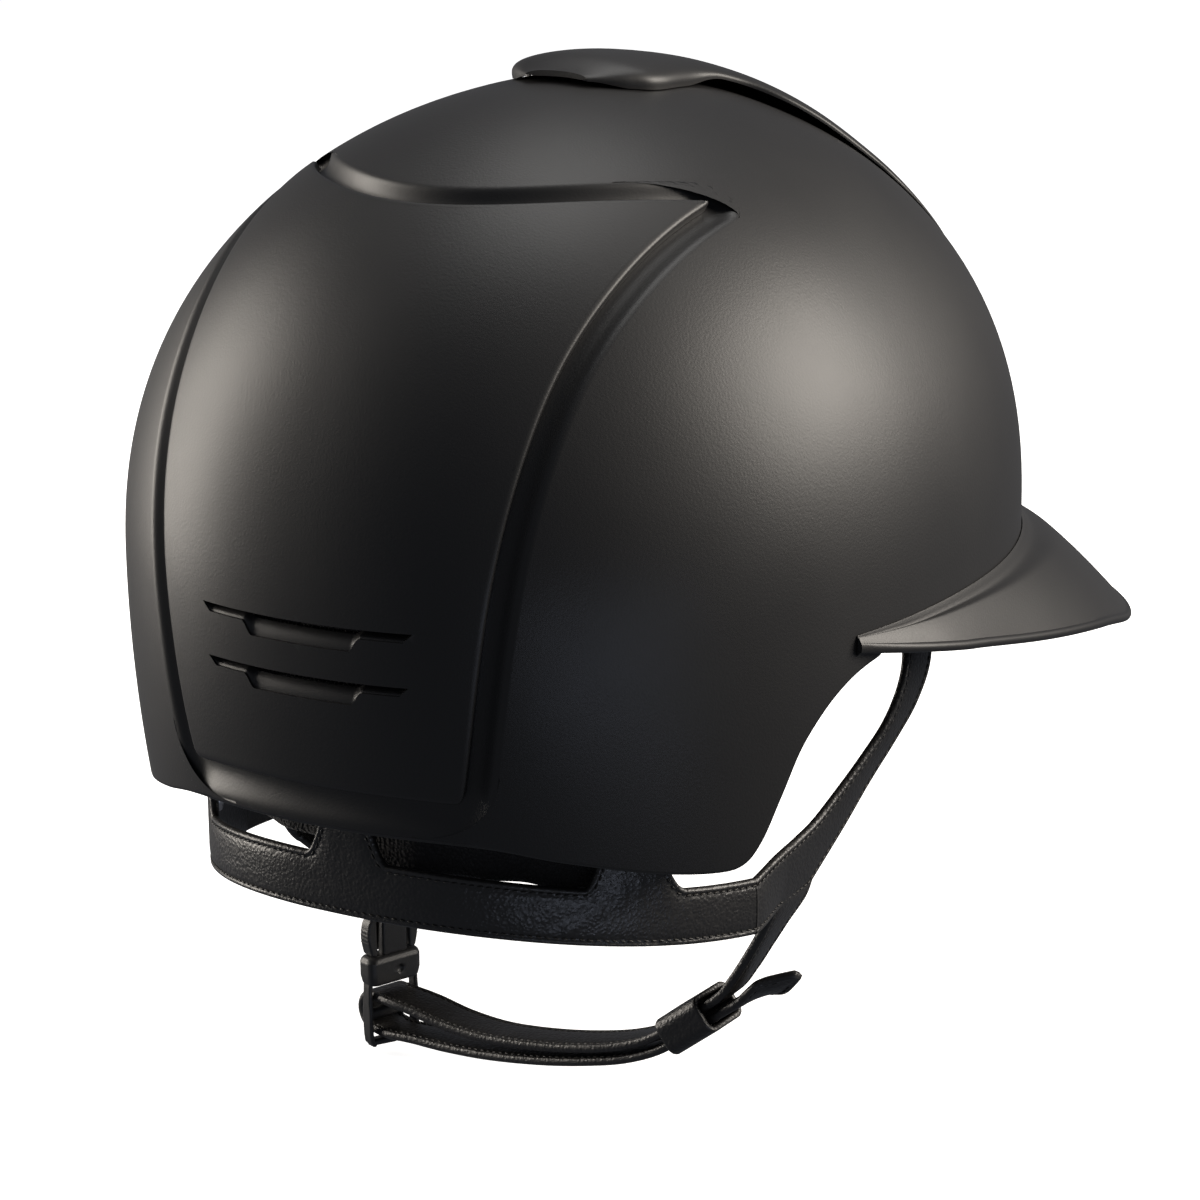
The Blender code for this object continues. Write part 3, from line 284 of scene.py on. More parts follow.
def on_panel(across, upwards, angle, side):
    """Points of the dome straight out from a panel's plane. side is +1 at the rear."""
    towards = np.array([0, side * math.cos(angle), math.sin(angle)])
    climb = np.array([0, -side * math.sin(angle), math.cos(angle)])
    starts = across[..., None] * np.array([1.0, 0, 0]) + upwards[..., None] * climb
    return cast(starts, towards)


def insert_ring(margin):
    pair = outline + outline_normal * margin
    return on_panel(pair[:, 0], pair[:, 1], REAR_FACING, 1)


def rim_point(angle, raised):
    """The point of the shell's rim at an angle from the brow, moved up its wall."""
    line = smooth(RIM, 240)[::-1]
    low, high = np.full(np.shape(angle), -0.05), np.full(np.shape(angle), 0.062)
    for _ in range(30):
        middle = (low + high) / 2
        y = dome(angle, middle)[..., 1]
        below = middle < np.interp(y, line[:, 0], line[:, 1]) + raised
        low, high = np.where(below, middle, low), np.where(below, high, middle)
    return dome(angle, low)


def grid_faces(rows, columns, wrap_rows=False, wrap_columns=False):
    """Quads over a grid of points that is stored row by row."""
    r = np.arange(rows if wrap_rows else rows - 1)[:, None]
    c = np.arange(columns if wrap_columns else columns - 1)[None, :]
    d, s = (c + 1) % columns, (r + 1) % rows
    quads = np.stack([r * columns + c, r * columns + d, s * columns + d, s * columns + c], -1)
    return quads.reshape(-1, 4)


def facing_out(mesh):
    """Turns every face round if the closed mesh is inside out."""
    mesh.calc_loop_triangles()
    points = np.array([v.co for v in mesh.vertices])
    tris = points[np.array([t.vertices for t in mesh.loop_triangles])]
    if np.einsum("ij,ij->i", tris[:, 0], np.cross(tris[:, 1], tris[:, 2])).sum() < 0:
        mesh.flip_normals()


def piece(name, points, faces, finish, body="helmet", slot=None, replaces=(), sharp=None):
    """A mesh object from world points that rides on a body and stands for CAD nodes."""
    mesh = bpy.data.meshes.new(name)
    mesh.from_pydata(np.asarray(points, float).reshape(-1, 3).tolist(), [], [tuple(map(int, f)) for f in faces])
    mesh.validate()
    facing_out(mesh)
    mesh.materials.append(finish)
    mesh.shade_smooth()
    if sharp:
        mesh.set_sharp_from_angle(angle=math.radians(sharp))
    made = bpy.data.objects.new(name, mesh)
    scene.collection.objects.link(made)
    if body:
        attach(made, body)
    if replaces:
        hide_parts(*replaces)
    return made


def node_group(name, inputs, outputs):
    """An empty shader group; inputs are (name, kind, default) and outputs (name, kind)."""
    group = bpy.data.node_groups.new(name, "ShaderNodeTree")
    for label, kind, value in inputs:
        socket = group.interface.new_socket(name=label, in_out="INPUT", socket_type=kind)
        if value is not None:
            socket.default_value = value
    for label, kind in outputs:
        group.interface.new_socket(name=label, in_out="OUTPUT", socket_type=kind)
    return group, group.nodes.new("NodeGroupInput"), group.nodes.new("NodeGroupOutput")


def math_node(tree, operation, a, b=None, clamp=False):
    """A Math node whose operands are sockets or numbers; returns its output."""
    node = tree.nodes.new("ShaderNodeMath")
    node.operation = operation
    node.use_clamp = clamp
    for socket, value in zip(node.inputs, (a, b)):
        if value is None:
            continue
        if isinstance(value, (int, float)):
            socket.default_value = value
        else:
            tree.links.new(value, socket)
    return node.outputs[0]


def set_inputs(tree, node, values):
    """Sets a node's named inputs with numbers or sockets; an underscore stands for a space."""
    for label, value in values.items():
        socket = node.inputs[label.replace("_", " ")]
        if isinstance(value, (int, float)):
            socket.default_value = value
        else:
            tree.links.new(value, socket)
    return node


def texture(tree, kind, vector, **values):
    """A texture node read at a vector, with its named sockets set."""
    return set_inputs(tree, tree.nodes.new(kind), {"Vector": vector, **values})


FLOAT, VECTOR = "NodeSocketFloat", "NodeSocketVector"

# Fine grain: a mottled height and a slow cloud that varies roughness and colour.
fine_grain, source, sink = node_group(
    "fine_grain", [("Place", VECTOR, None), ("Scale", FLOAT, 900.0), ("Cloud scale", FLOAT, 18.0)],
    [("Height", FLOAT), ("Cloud", FLOAT)])
grain = texture(fine_grain, "ShaderNodeTexNoise", source.outputs["Place"], Scale=source.outputs["Scale"], Detail=3.0)
cloud = texture(fine_grain, "ShaderNodeTexNoise", source.outputs["Place"], Scale=source.outputs["Cloud scale"],
                Detail=4.0)
fine_grain.links.new(grain.outputs["Fac"], sink.inputs["Height"])
fine_grain.links.new(cloud.outputs["Fac"], sink.inputs["Cloud"])

# Edge wear: a broken mask along convex edges, where handling polishes the paint.
edge_wear, source, sink = node_group(
    "edge_wear", [("Place", VECTOR, None), ("Start", FLOAT, 0.52), ("Width", FLOAT, 0.06)], [("Mask", FLOAT)])
geometry = edge_wear.nodes.new("ShaderNodeNewGeometry")
over = math_node(edge_wear, "SUBTRACT", geometry.outputs["Pointiness"], source.outputs["Start"])
ratio = math_node(edge_wear, "DIVIDE", over, source.outputs["Width"], clamp=True)
broken = texture(edge_wear, "ShaderNodeTexNoise", source.outputs["Place"], Scale=260.0, Detail=4.0)
edge_wear.links.new(math_node(edge_wear, "MULTIPLY", ratio, broken.outputs["Fac"]), sink.inputs["Mask"])


def use_group(tree, group, **values):
    """Places a group and sets its named inputs with values or sockets."""
    node = tree.nodes.new("ShaderNodeGroup")
    node.node_tree = group
    return set_inputs(tree, node, values)


def spread(tree, value, low, high):
    """A 0 to 1 value carried to a low and a high number."""
    node = tree.nodes.new("ShaderNodeMapRange")
    tree.links.new(value, node.inputs["Value"])
    node.inputs["To Min"].default_value = low
    node.inputs["To Max"].default_value = high
    return node.outputs["Result"]


def mixed(tree, mask, first, second):
    """Two colours mixed by a mask; each is a socket or an (r, g, b)."""
    node = tree.nodes.new("ShaderNodeMix")
    node.data_type = "RGBA"
    tree.links.new(mask, node.inputs["Factor"])
    for label, value in (("A", first), ("B", second)):
        socket = next(s for s in node.inputs if s.name == label and s.type == "RGBA")
        if isinstance(value, tuple):
            socket.default_value = (*value, 1)
        else:
            tree.links.new(value, socket)
    return next(s for s in node.outputs if s.type == "RGBA")


def new_material(name):
    """A material, its tree, its Principled shader and object coordinates."""
    made = bpy.data.materials.new(name)
    made.use_nodes = True
    tree = made.node_tree
    return made, tree, tree.nodes["Principled BSDF"], tree.nodes.new("ShaderNodeTexCoord").outputs["Object"]


def bumped(tree, shader, height, distance, strength=1.0):
    node = tree.nodes.new("ShaderNodeBump")
    node.inputs["Distance"].default_value = distance
    node.inputs["Strength"].default_value = strength
    tree.links.new(height, node.inputs["Height"])
    tree.links.new(node.outputs["Normal"], shader.inputs["Normal"])


def satin_plastic(name, colour, worn, roughness, grain_scale, bump):
    """Painted or moulded plastic with a fine texture, cloudy gloss and rubbed edges."""
    made, tree, shader, place = new_material(name)
    grain = use_group(tree, fine_grain, Place=place, Scale=grain_scale, Cloud_scale=22.0)
    wear = use_group(tree, edge_wear, Place=place, Start=0.53, Width=0.08)
    tint = mixed(tree, grain.outputs["Cloud"], tuple(0.88 * c for c in colour), tuple(1.12 * c for c in colour))
    tree.links.new(mixed(tree, wear.outputs["Mask"], tint, worn), shader.inputs["Base Color"])
    gloss = spread(tree, grain.outputs["Cloud"], roughness - 0.05, roughness + 0.05)
    tree.links.new(math_node(tree, "SUBTRACT", gloss, math_node(tree, "MULTIPLY", wear.outputs["Mask"], 0.1)),
                   shader.inputs["Roughness"])
    bumped(tree, shader, grain.outputs["Height"], bump)
    return made


outline, outline_normal, outline_share = insert_outline()
PAINT, PAINT_WORN = (0.0125, 0.0122, 0.0125), (0.035, 0.034, 0.033)
satin_shell = satin_plastic("satin_black_paint", PAINT, PAINT_WORN, 0.46, 1500.0, 0.00004)

angles = np.linspace(math.pi, 0, 1500)
half_rim = rim_point(angles, 0.0)
rim_run = lengths(half_rim)
half_share = np.minimum(outline_share, 1 - outline_share) * 2
total = rim_run[-1]
foot_share, horn_share = outline_share[48] * 2, outline_share[192] * 2
rim_spot = np.interp(half_share, (0, foot_share, horn_share, 1), (0, EAR_SHARE * total, BROW_SHARE * total, total))
rim_spot = softened(rim_spot[:, None], 7)[:, 0]
rim_angle = np.interp(rim_spot, rim_run, angles)
rim_angle[outline_share > 0.5] = 2 * math.pi - rim_angle[outline_share > 0.5]


def over_dome(start, finish, share):
    """Points on the dome part of the way from one ring to another, seen from the middle."""
    a, b = (v - DOME_MIDDLE for v in (start, finish))
    a, b = (v / np.linalg.norm(v, axis=1, keepdims=True) for v in (a, b))
    turn = np.arccos(np.clip((a * b).sum(1), -1, 1))[:, None]
    direction = (np.sin((1 - share) * turn) * a + np.sin(share * turn) * b) / np.maximum(np.sin(turn), 1e-9)
    return cast(np.broadcast_to(DOME_MIDDLE, direction.shape), direction)


def evened(rings):
    """Rings spread evenly over the dome between the first and the last, which stay."""
    for _ in range(EVENING_STEPS):
        inner = rings[1:-1]
        beside = np.roll(inner, 1, axis=1) + np.roll(inner, -1, axis=1)
        rings[1:-1] = 0.5 * inner + 0.125 * (beside + rings[2:] + rings[:-2])
        away = rings[1:-1] - DOME_MIDDLE
        rings[1:-1] = DOME_MIDDLE + away * (EVENING_REACH / np.linalg.norm(away, axis=2, keepdims=True))
    direction = rings[1:-1] - DOME_MIDDLE
    direction /= np.linalg.norm(direction, axis=2, keepdims=True)
    rings[1:-1] = cast(np.broadcast_to(DOME_MIDDLE, direction.shape), direction)
    return rings


def window_ring():
    """The vent window's edge on the dome, matched to the outline by direction."""
    half, low, high = WINDOW
    middle = (low + high) / 2
    turn = np.arctan2(outline[:, 0], -(outline[:, 1] + 0.03))
    x, z = np.sin(turn), -np.cos(turn)
    reach = 1 / ((np.abs(x) / half) ** 8 + (np.abs(z) / (high - middle)) ** 8) ** (1 / 8)
    starts = np.stack([x * reach, 0 * x, middle + z * reach], -1)
    return cast(starts, np.array([0.0, 1.0, 0.0]))


rings = []
lip = insert_ring(-0.0015)
window_edge = window_ring()
for share in np.linspace(0, 1, 9)[:-1]:
    rings.append(shifted(over_dome(window_edge, lip, share), SHELL_WALL))
rings.append(shifted(lip, SHELL_WALL))
for margin, depth in CHANNEL:
    rings.append(shifted(insert_ring(margin / 1000), depth / 1000))
start = insert_ring(CHANNEL[-1][0] / 1000)
rim_upper = rim_point(rim_angle, 0.0012)
spread_rings = evened(np.array([over_dome(start, rim_upper, share) for share in np.linspace(0, 1, OVER_RINGS)]))
rings += list(spread_rings[1:])
for raised, depth in RIM_EDGE:
    rings.append(shifted(rim_point(rim_angle, raised), depth))
rings += [shifted(ring, SHELL_WALL) for ring in spread_rings[-3:0:-3]]
rings.append(shifted(start, SHELL_WALL))
rings.append(shifted(insert_ring(0.005), POCKET_FLOOR - 0.0004))
rings.append(shifted(lip, POCKET_FLOOR))
rings.append(shifted(window_edge, POCKET_FLOOR))
count = len(outline)
shell = piece("shell", np.array(rings), grid_faces(len(rings), count, True, True), satin_shell, slot="shell_abs",
              replaces=["outer_shell"])
# where the wall follows the dome, the dome's own normals keep its gloss even
flat_normals = np.zeros(len(shell.data.vertices) * 3)
shell.data.vertices.foreach_get("normal", flat_normals)
normals, places = flat_normals.reshape(-1, 3), np.array(rings).reshape(-1, 3)
true_normals = outward(places)
on_dome = (np.abs(outside(places)) < 1e-5) & ((normals * true_normals).sum(1) > 0.985)
normals[on_dome] = true_normals[on_dome]
shell.data.normals_split_custom_set_from_vertices(normals.tolist())

# ---------------------------------------------------------------- rear insert
# A snap-in ABS panel that sits in the pocket, 0.3 mm proud, with rolled edges. Two louvres are
# moulded in it: a long slit, a deeper dip in the middle, and a ramp that drops to the vent window.

INSERT_EDGE = ((0.0, 2.6), (-0.02, 1.6), (0.0, 0.75), (-0.06, 0.38), (-0.2, 0.08), (-0.42, -0.12), (-0.75, -0.25),
               (-1.2, -0.3))
INSERT_UNDER, INSERT_PROUD, INSERT_INSET = 0.0026, 0.0003, 0.0017
VENT_HALF, VENT_TAPER, VENT_CORNER, VENT_NOTCH_HALF, VENT_FLANK = 0.0304, 0.0014, 0.0024, 0.017, 0.003
VENT_TOPS, VENT_SLIT, VENT_DEPTH = (0.0642, 0.0508), 0.0023, 0.0057
RAMP_START, RAMP_DROP, RAMP_CURVE = 0.0004, 0.0046, 1.7


def coons(ring):
    """A grid of points whose edge is a closed ring of foot, side, head and side segments."""
    n, m = SEGMENTS[2], SEGMENTS[1]
    turned = np.roll(ring, n // 2, axis=0)
    foot, left = turned[:n + 1], turned[n:n + m + 1]
    head, far = turned[n + m:2 * n + m + 1][::-1], np.vstack([turned[2 * n + m:], turned[:1]])[::-1]
    s, t = np.linspace(0, 1, n + 1)[None, :, None], np.linspace(0, 1, m + 1)[:, None, None]
    across = (1 - t) * foot[None] + t * head[None]
    along = (1 - s) * far[:, None] + s * left[:, None]
    corners = (1 - t) * (1 - s) * foot[0] + (1 - t) * s * foot[-1] + t * (1 - s) * head[0] + t * s * head[-1]
    return across + along - corners


def ring_of(rows, columns):
    """Indices round the edge of a grid, in the order that the outline runs."""
    foot = list(range(columns))
    left = [r * columns + columns - 1 for r in range(1, rows)]
    head = [(rows - 1) * columns + c for c in range(columns - 2, -1, -1)]
    far = [r * columns for r in range(rows - 2, 0, -1)]
    return np.array(foot + left + head + far)


def stitched_faces(rows, columns, belts=0):
    """Faces of two grids joined by belts of points: outer grid, belts, inner grid, all in one list."""
    count = rows * columns
    edge = ring_of(rows, columns)
    ring = len(edge)
    faces = [tuple(f) for f in grid_faces(rows, columns)]
    faces += [tuple(count + i for i in reversed(f)) for f in grid_faces(rows, columns)]
    tracks = [edge] + [2 * count + b * ring + np.arange(ring) for b in range(belts)] + [count + edge]
    for first, second in zip(tracks, tracks[1:]):
        for i in range(ring):
            j = (i + 1) % ring
            faces.append((first[j], first[i], second[i], second[j]))
    return faces


def louvre_cutter(top, number):
    """A louvre's hollow: a grid across its opening whose floor ramps inwards towards its top edge."""
    half = VENT_HALF - VENT_TAPER * number
    x = np.unique(np.concatenate([np.linspace(-half, half, 81), [half - VENT_CORNER, VENT_CORNER - half],
                                  [s * v for s in (-1, 1) for v in (VENT_NOTCH_HALF, VENT_NOTCH_HALF - VENT_FLANK)]]))
    reach = np.abs(x)
    slit = VENT_SLIT * np.clip((half - reach) / VENT_CORNER, 0.03, 1)
    notch = ease(VENT_NOTCH_HALF - reach, 0, VENT_FLANK)
    foot = top - slit - (VENT_DEPTH - VENT_SLIT) * notch
    share = np.linspace(0, 1, 9)[:, None]
    z = foot + (top - foot) * share
    starts = np.stack([np.broadcast_to(x, z.shape), 0 * z, z], -1)
    surface = cast(starts, np.array([0.0, 1.0, 0.0]))
    floor_depth = RAMP_START + RAMP_DROP * share**RAMP_CURVE
    low, high = surface.copy(), surface.copy()
    low[..., 1] -= floor_depth
    high[..., 1] += 0.004
    points = np.vstack([high.reshape(-1, 3), low.reshape(-1, 3)])
    return piece(f"louvre_{number}", points, stitched_faces(*z.shape), satin_shell, body=None)


def cut(target, cutter):
    """Cuts one mesh out of another and removes the cutter."""
    modifier = target.modifiers.new("cut", "BOOLEAN")
    modifier.operation, modifier.object, modifier.solver = "DIFFERENCE", cutter, "EXACT"
    graph = bpy.context.evaluated_depsgraph_get()
    mesh = bpy.data.meshes.new_from_object(target.evaluated_get(graph))
    target.modifiers.clear()
    target.data = mesh
    bpy.data.objects.remove(cutter)


belts = [shifted(insert_ring(m / 1000), d / 1000) for m, d in INSERT_EDGE]
belts = [np.roll(b, SEGMENTS[0], axis=0) for b in belts[::-1]]
plan = coons(outline - outline_normal * INSERT_INSET)
surface = on_panel(plan[..., 0], plan[..., 1], REAR_FACING, 1)
rows, columns = plan.shape[:2]
points = np.vstack([shifted(surface, -INSERT_PROUD).reshape(-1, 3), shifted(surface, INSERT_UNDER).reshape(-1, 3),
                    *belts])
insert = piece("rear_insert", points, stitched_faces(rows, columns, len(belts)), satin_shell, slot="shell_abs",
               replaces=["rear_panel"])
for number, top in enumerate(VENT_TOPS):
    cut(insert, louvre_cutter(top, number))
insert.data.set_sharp_from_angle(angle=math.radians(38))

# ---------------------------------------------------------------- crown strip
# A separate ABS strip from the brow to the crown. Its sides roll over, stand off the shell to let
# air in beneath them, and its tail overhangs the shell in a pointed lip.

FRONT_FACING, FRONT_BOTTOM, FRONT_TOP = math.radians(50), (-0.0655, 3.8), (0.1195, 0.0)
FRONT_SIDE = ((0.0450, -0.0600), (0.0540, -0.0360), (0.0600, -0.0100), (0.0625, 0.0140), (0.0585, 0.0360),
              (0.0505, 0.0470), (0.0440, 0.0590), (0.0360, 0.0700), (0.0265, 0.0790), (0.0222, 0.0900),
              (0.0218, 0.1060), (0.0175, 0.1130), (0.0090, 0.1195))
STRIP_LIFT, STRIP_HEIGHT, STRIP_RISE = 0.0015, 0.0058, (0.020, 0.085)
STRIP_WALL, STRIP_ROLL = 0.0022, 3.4
SLOT_HEIGHT, SLOT_FROM, SLOT_FULL, SLOT_FADE, SLOT_TO = 0.0026, 0.096, 0.084, 0.072, 0.036
TAIL_DROP, TAIL_FROM, TAIL_LIFT, TAIL_LIFT_FROM, STRIP_CLEAR = 0.0026, 0.109, 0.0013, 0.113, 0.0003

tail_stations = 0.965 + 0.035 * np.sin(np.linspace(0, 1, 16)[1:] * math.pi / 2)
stations = np.concatenate([np.linspace(0, 0.965, 150), tail_stations])
side = smooth(FRONT_SIDE, 400)
turn = np.linspace(0, math.pi, 61)
shapes = []
for inwards in (0.0, 1.0):
    wide = -np.sign(np.cos(turn)) * np.abs(np.cos(turn)) ** (2 / STRIP_ROLL)
    tall = np.abs(np.sin(turn)) ** (2 / STRIP_ROLL)
    level_up = FRONT_BOTTOM[0] + stations * (FRONT_TOP[0] - FRONT_BOTTOM[0])
    climb = np.repeat(level_up[:, None], len(turn), 1)
    for _ in range(8):
        half = np.interp(climb, side[:, 1], side[:, 0])
        bend = FRONT_BOTTOM[1] * (wide[None, :] * half) ** 2 * (1 - stations[:, None])
        climb = level_up[:, None] + bend
    half = np.maximum(np.interp(climb, side[:, 1], side[:, 0]), 0.001) - 0.0016 * inwards
    across = wide[None, :] * half
    rise = STRIP_LIFT + (STRIP_HEIGHT - STRIP_LIFT) * ease(climb, *STRIP_RISE)
    rise = rise - TAIL_DROP * ease(climb, TAIL_FROM, FRONT_TOP[0]) ** 1.5
    slot_share = ease(-climb, -SLOT_FROM, -SLOT_FULL) * (1 - ease(-climb, -SLOT_FADE, -SLOT_TO))
    foot = STRIP_CLEAR + SLOT_HEIGHT * slot_share * np.minimum(rise / STRIP_HEIGHT, 1)
    foot = foot + TAIL_LIFT * ease(climb, TAIL_LIFT_FROM, FRONT_TOP[0])
    foot = np.minimum(foot, rise - 0.0009)
    height = foot + (rise - foot) * tall[None, :]
    if inwards:
        height = np.maximum(foot + 0.0001, height - STRIP_WALL * tall[None, :] ** 2)
        height = np.minimum(height, rise - 0.0008)
    shapes.append(shifted(on_panel(across, climb, FRONT_FACING, -1), -height))
rows, columns = shapes[0].shape[:2]
points = np.vstack([s.reshape(-1, 3) for s in shapes])
piece("crown_strip", points, stitched_faces(rows, columns), satin_shell, slot="shell_abs",
      replaces=["front_panel"], sharp=50)

# ---------------------------------------------------------------- peak
# A moulded ABS peak, thin and rolled at its rim, whose root wraps the brow and is held by two
# screws from inside the shell.

PEAK_RIM = ((0, 0.0540, 0.0210), (15, 0.0510, 0.0183), (30, 0.0445, 0.0154), (45, 0.0350, 0.0190),
            (60, 0.0240, 0.0278), (80, 0.0120, 0.0372), (95, 0.0070, 0.0452), (107, 0.0018, 0.0509))
PEAK_ROOT_TOP, PEAK_ROOT_BOTTOM, PEAK_EDGE, PEAK_BULGE, BULGE_REACH = 0.0525, 0.0472, 0.0026, 0.0022, 0.02
PEAK_ROLL, PEAK_HOLLOW, THIN_REACH = 0.0013, 0.0016, 0.006

half_rim = np.array(PEAK_RIM)
line = smooth(np.vstack([half_rim[:0:-1] * (-1, 1, 1), half_rim]), 181)
turn = np.radians(line[:, 0])
root_top, root_low = (shifted(dome(turn, z), -0.0003) for z in (PEAK_ROOT_TOP, PEAK_ROOT_BOTTOM))
away = outward(dome(turn, DOME_WIDEST_Z)) * (1, 1, 0)
rim = dome(turn, PEAK_ROOT_TOP) + away * line[:, 1:2]
rim[:, 2] = line[:, 2]
thin = np.minimum(1, line[:, 1:2] / THIN_REACH)
round_edge = [(0.5 * PEAK_EDGE * math.cos(a), 0.5 * PEAK_EDGE * (math.sin(a) - 1)) for a in
              np.linspace(math.pi / 2, -math.pi / 2, 11)]
rolled = rim - away * PEAK_ROLL * thin


def peak_bulge(share):
    """How far the peak arches up between its root and its rim."""
    return np.array([0, 0, PEAK_BULGE * 4 * share * (1 - share)]) * np.minimum(line[:, 1:2] / BULGE_REACH, 1)


rows = []
for u in np.concatenate([np.linspace(0, 0.85, 26), np.linspace(0.85, 1, 9)[1:]]):
    bulge = peak_bulge(u)
    hollow = np.array([0, 0, -PEAK_HOLLOW]) * ease(u, 0, 0.12) * (1 - ease(u, 0.12, 0.4)) * thin
    rows.append(root_top * (1 - u) + rolled * u + bulge + hollow)
for reach, drop in round_edge[1:-1]:
    rows.append(rim + away * (reach - PEAK_ROLL) * thin + np.array([0, 0, drop]))
for u in np.linspace(1, 0, 24):
    rows.append(root_low * (1 - u) + (rolled - (0, 0, PEAK_EDGE)) * u + peak_bulge(u))
rows = np.array(rows)
faces = [tuple(f) for f in grid_faces(*rows.shape[:2], wrap_rows=True)]
count = rows.shape[1]
faces.append(tuple(r * count for r in range(len(rows))))
faces.append(tuple(r * count + count - 1 for r in reversed(range(len(rows)))))
piece("visor_peak", rows, faces, satin_shell, slot="shell_abs", replaces=["peak"], sharp=50)

# ---------------------------------------------------------------- nape band
# One piece of black leather, folded over a filler and lock-stitched 1.7 mm from every edge. Three
# tabs rise from it behind the shell's rim, and a rivet through each holds the band to the liner.

LEATHER, STITCH_INSET, STITCH_PITCH, STITCH_LENGTH, THREAD = 0.0022, 0.0017, 0.0021, 0.00155, 0.00023
ROLL_REACH, EDGE_HALF = 0.0010, 0.00012
BAND_HALF_WIDTH, BAND_REAR, BAND_EXPONENT, BAND_END_X = 0.084, 0.112, 2.3, 0.0787
BAND_LOW, BAND_LOW_DROP, BAND_LOW_POWER = -0.0160, 0.0114, 2.6
BAND_TOP, BAND_TOP_DROP, BAND_TOP_POWER = -0.0007, 0.0118, 2.4
# each tab: its middle, half width, rise and the reach of its fillets
TABS = ((0.0, 0.0070, 0.0098, 0.0050), (0.063, 0.0040, 0.0128, 0.0038), (-0.063, 0.0040, 0.0128, 0.0038))

# Leather grain: a pore height and a crease relief. The crease output also sets the leather's colour as a painted sheen
# and painted shade.
leather_grain, source, sink = node_group(
    "leather_grain", [("Place", VECTOR, None), ("Pore scale", FLOAT, 1300.0), ("Crease scale", FLOAT, 120.0)],
    [("Height", FLOAT), ("Pores", FLOAT), ("Crease sheen", FLOAT)])
warp = texture(leather_grain, "ShaderNodeTexNoise", source.outputs["Place"], Scale=420.0, Detail=3.0)
offset = leather_grain.nodes.new("ShaderNodeVectorMath")
offset.operation = "MULTIPLY_ADD"
leather_grain.links.new(warp.outputs["Color"], offset.inputs[0])
offset.inputs[1].default_value = (0.0009, 0.0009, 0.0009)
leather_grain.links.new(source.outputs["Place"], offset.inputs[2])
cells = texture(leather_grain, "ShaderNodeTexVoronoi", offset.outputs[0], Scale=source.outputs["Pore scale"])
cells.feature = "SMOOTH_F1"
creases = texture(leather_grain, "ShaderNodeTexNoise", source.outputs["Place"], Scale=source.outputs["Crease scale"],
                  Detail=5.0, Roughness=0.6)
pores = math_node(leather_grain, "SUBTRACT", 1.0, cells.outputs["Distance"], clamp=True)
ridge = math_node(leather_grain, "MULTIPLY", creases.outputs["Fac"], 1.4)
leather_grain.links.new(math_node(leather_grain, "ADD", pores, ridge), sink.inputs["Height"])
leather_grain.links.new(pores, sink.inputs["Pores"])
leather_grain.links.new(creases.outputs["Fac"], sink.inputs["Crease sheen"])


def leather_finish(name, colour, rubbed, gloss, bump):
    """Waxed leather: pores, creases, a gloss that follows them, a painted sheen on the crease ridges with painted shade
    in their hollows, and edges rubbed paler.
    """
    made, tree, shader, place = new_material(name)
    hide = use_group(tree, leather_grain, Place=place, Pore_scale=1250.0, Crease_scale=130.0)
    wear = use_group(tree, edge_wear, Place=place, Start=0.515, Width=0.07)
    # the colour follows the crease relief: paler on its ridges, a painted sheen, and darker in its hollows, painted
    # shade
    tint = mixed(tree, hide.outputs["Crease sheen"], tuple(0.75 * c for c in colour), tuple(1.25 * c for c in colour))
    tree.links.new(mixed(tree, wear.outputs["Mask"], tint, rubbed), shader.inputs["Base Color"])
    tree.links.new(spread(tree, hide.outputs["Pores"], gloss + 0.16, gloss - 0.03), shader.inputs["Roughness"])
    shader.inputs["Specular IOR Level"].default_value = 0.6
    bumped(tree, shader, hide.outputs["Height"], bump)
    return made


black_leather = leather_finish("black_leather", (0.0135, 0.0128, 0.0128), (0.045, 0.042, 0.040), 0.36, 0.00016)
thread_black, tree, shader, place = new_material("waxed_thread")
THREAD_DARK, THREAD_LIGHT = (0.012, 0.011, 0.010), (0.05, 0.047, 0.043)
twist = texture(tree, "ShaderNodeTexNoise", place, Scale=2600.0, Detail=2.0)
tree.links.new(mixed(tree, twist.outputs["Fac"], THREAD_DARK, THREAD_LIGHT), shader.inputs["Base Color"])
tree.links.new(spread(tree, twist.outputs["Fac"], 0.42, 0.62), shader.inputs["Roughness"])
bumped(tree, shader, twist.outputs["Fac"], 0.00008)


def distance_to(points, line):
    """Distance from each point to a line of points."""
    flat = points.reshape(-1, 3)
    best = np.full(len(flat), 1.0)
    for a, b in zip(line, line[1:]):
        run = b - a
        t = np.clip((flat - a) @ run / max(run @ run, 1e-12), 0, 1)
        best = np.minimum(best, np.linalg.norm(flat - a - t[:, None] * run, axis=1))
    return best.reshape(points.shape[:-1])


def rolled_edge(distance, thick):
    """Half thickness that rounds off within a millimetre of the edge."""
    rolled = np.sqrt(np.clip(1 - (1 - np.minimum(distance / ROLL_REACH, 1)) ** 2, 0, 1))
    return (thick / 2 - EDGE_HALF) * rolled + EDGE_HALF


def relief(distance, thick):
    """Height of the outer face: rolled edge, raised border, sunk stitch line, filled middle."""
    border = 0.00010 * np.exp(-((distance - 0.0009) / 0.0005) ** 2)
    channel = 0.00030 * np.exp(-((distance - STITCH_INSET) / 0.00045) ** 2)
    filled = 0.00022 * ease(distance, 0.0021, 0.0050)
    return rolled_edge(distance, thick) + border - channel + filled


def along(spots, run, values):
    """Values at distances along a line."""
    return np.stack([np.interp(spots, run, column) for column in values.T], 1)


def capped_faces(rows, columns):
    """Faces of a tube stored ring by ring, with an end face at each end."""
    faces = [tuple(f) for f in grid_faces(rows, columns, wrap_columns=True)]
    return faces + [tuple(reversed(range(columns))), tuple(range((rows - 1) * columns, rows * columns))]


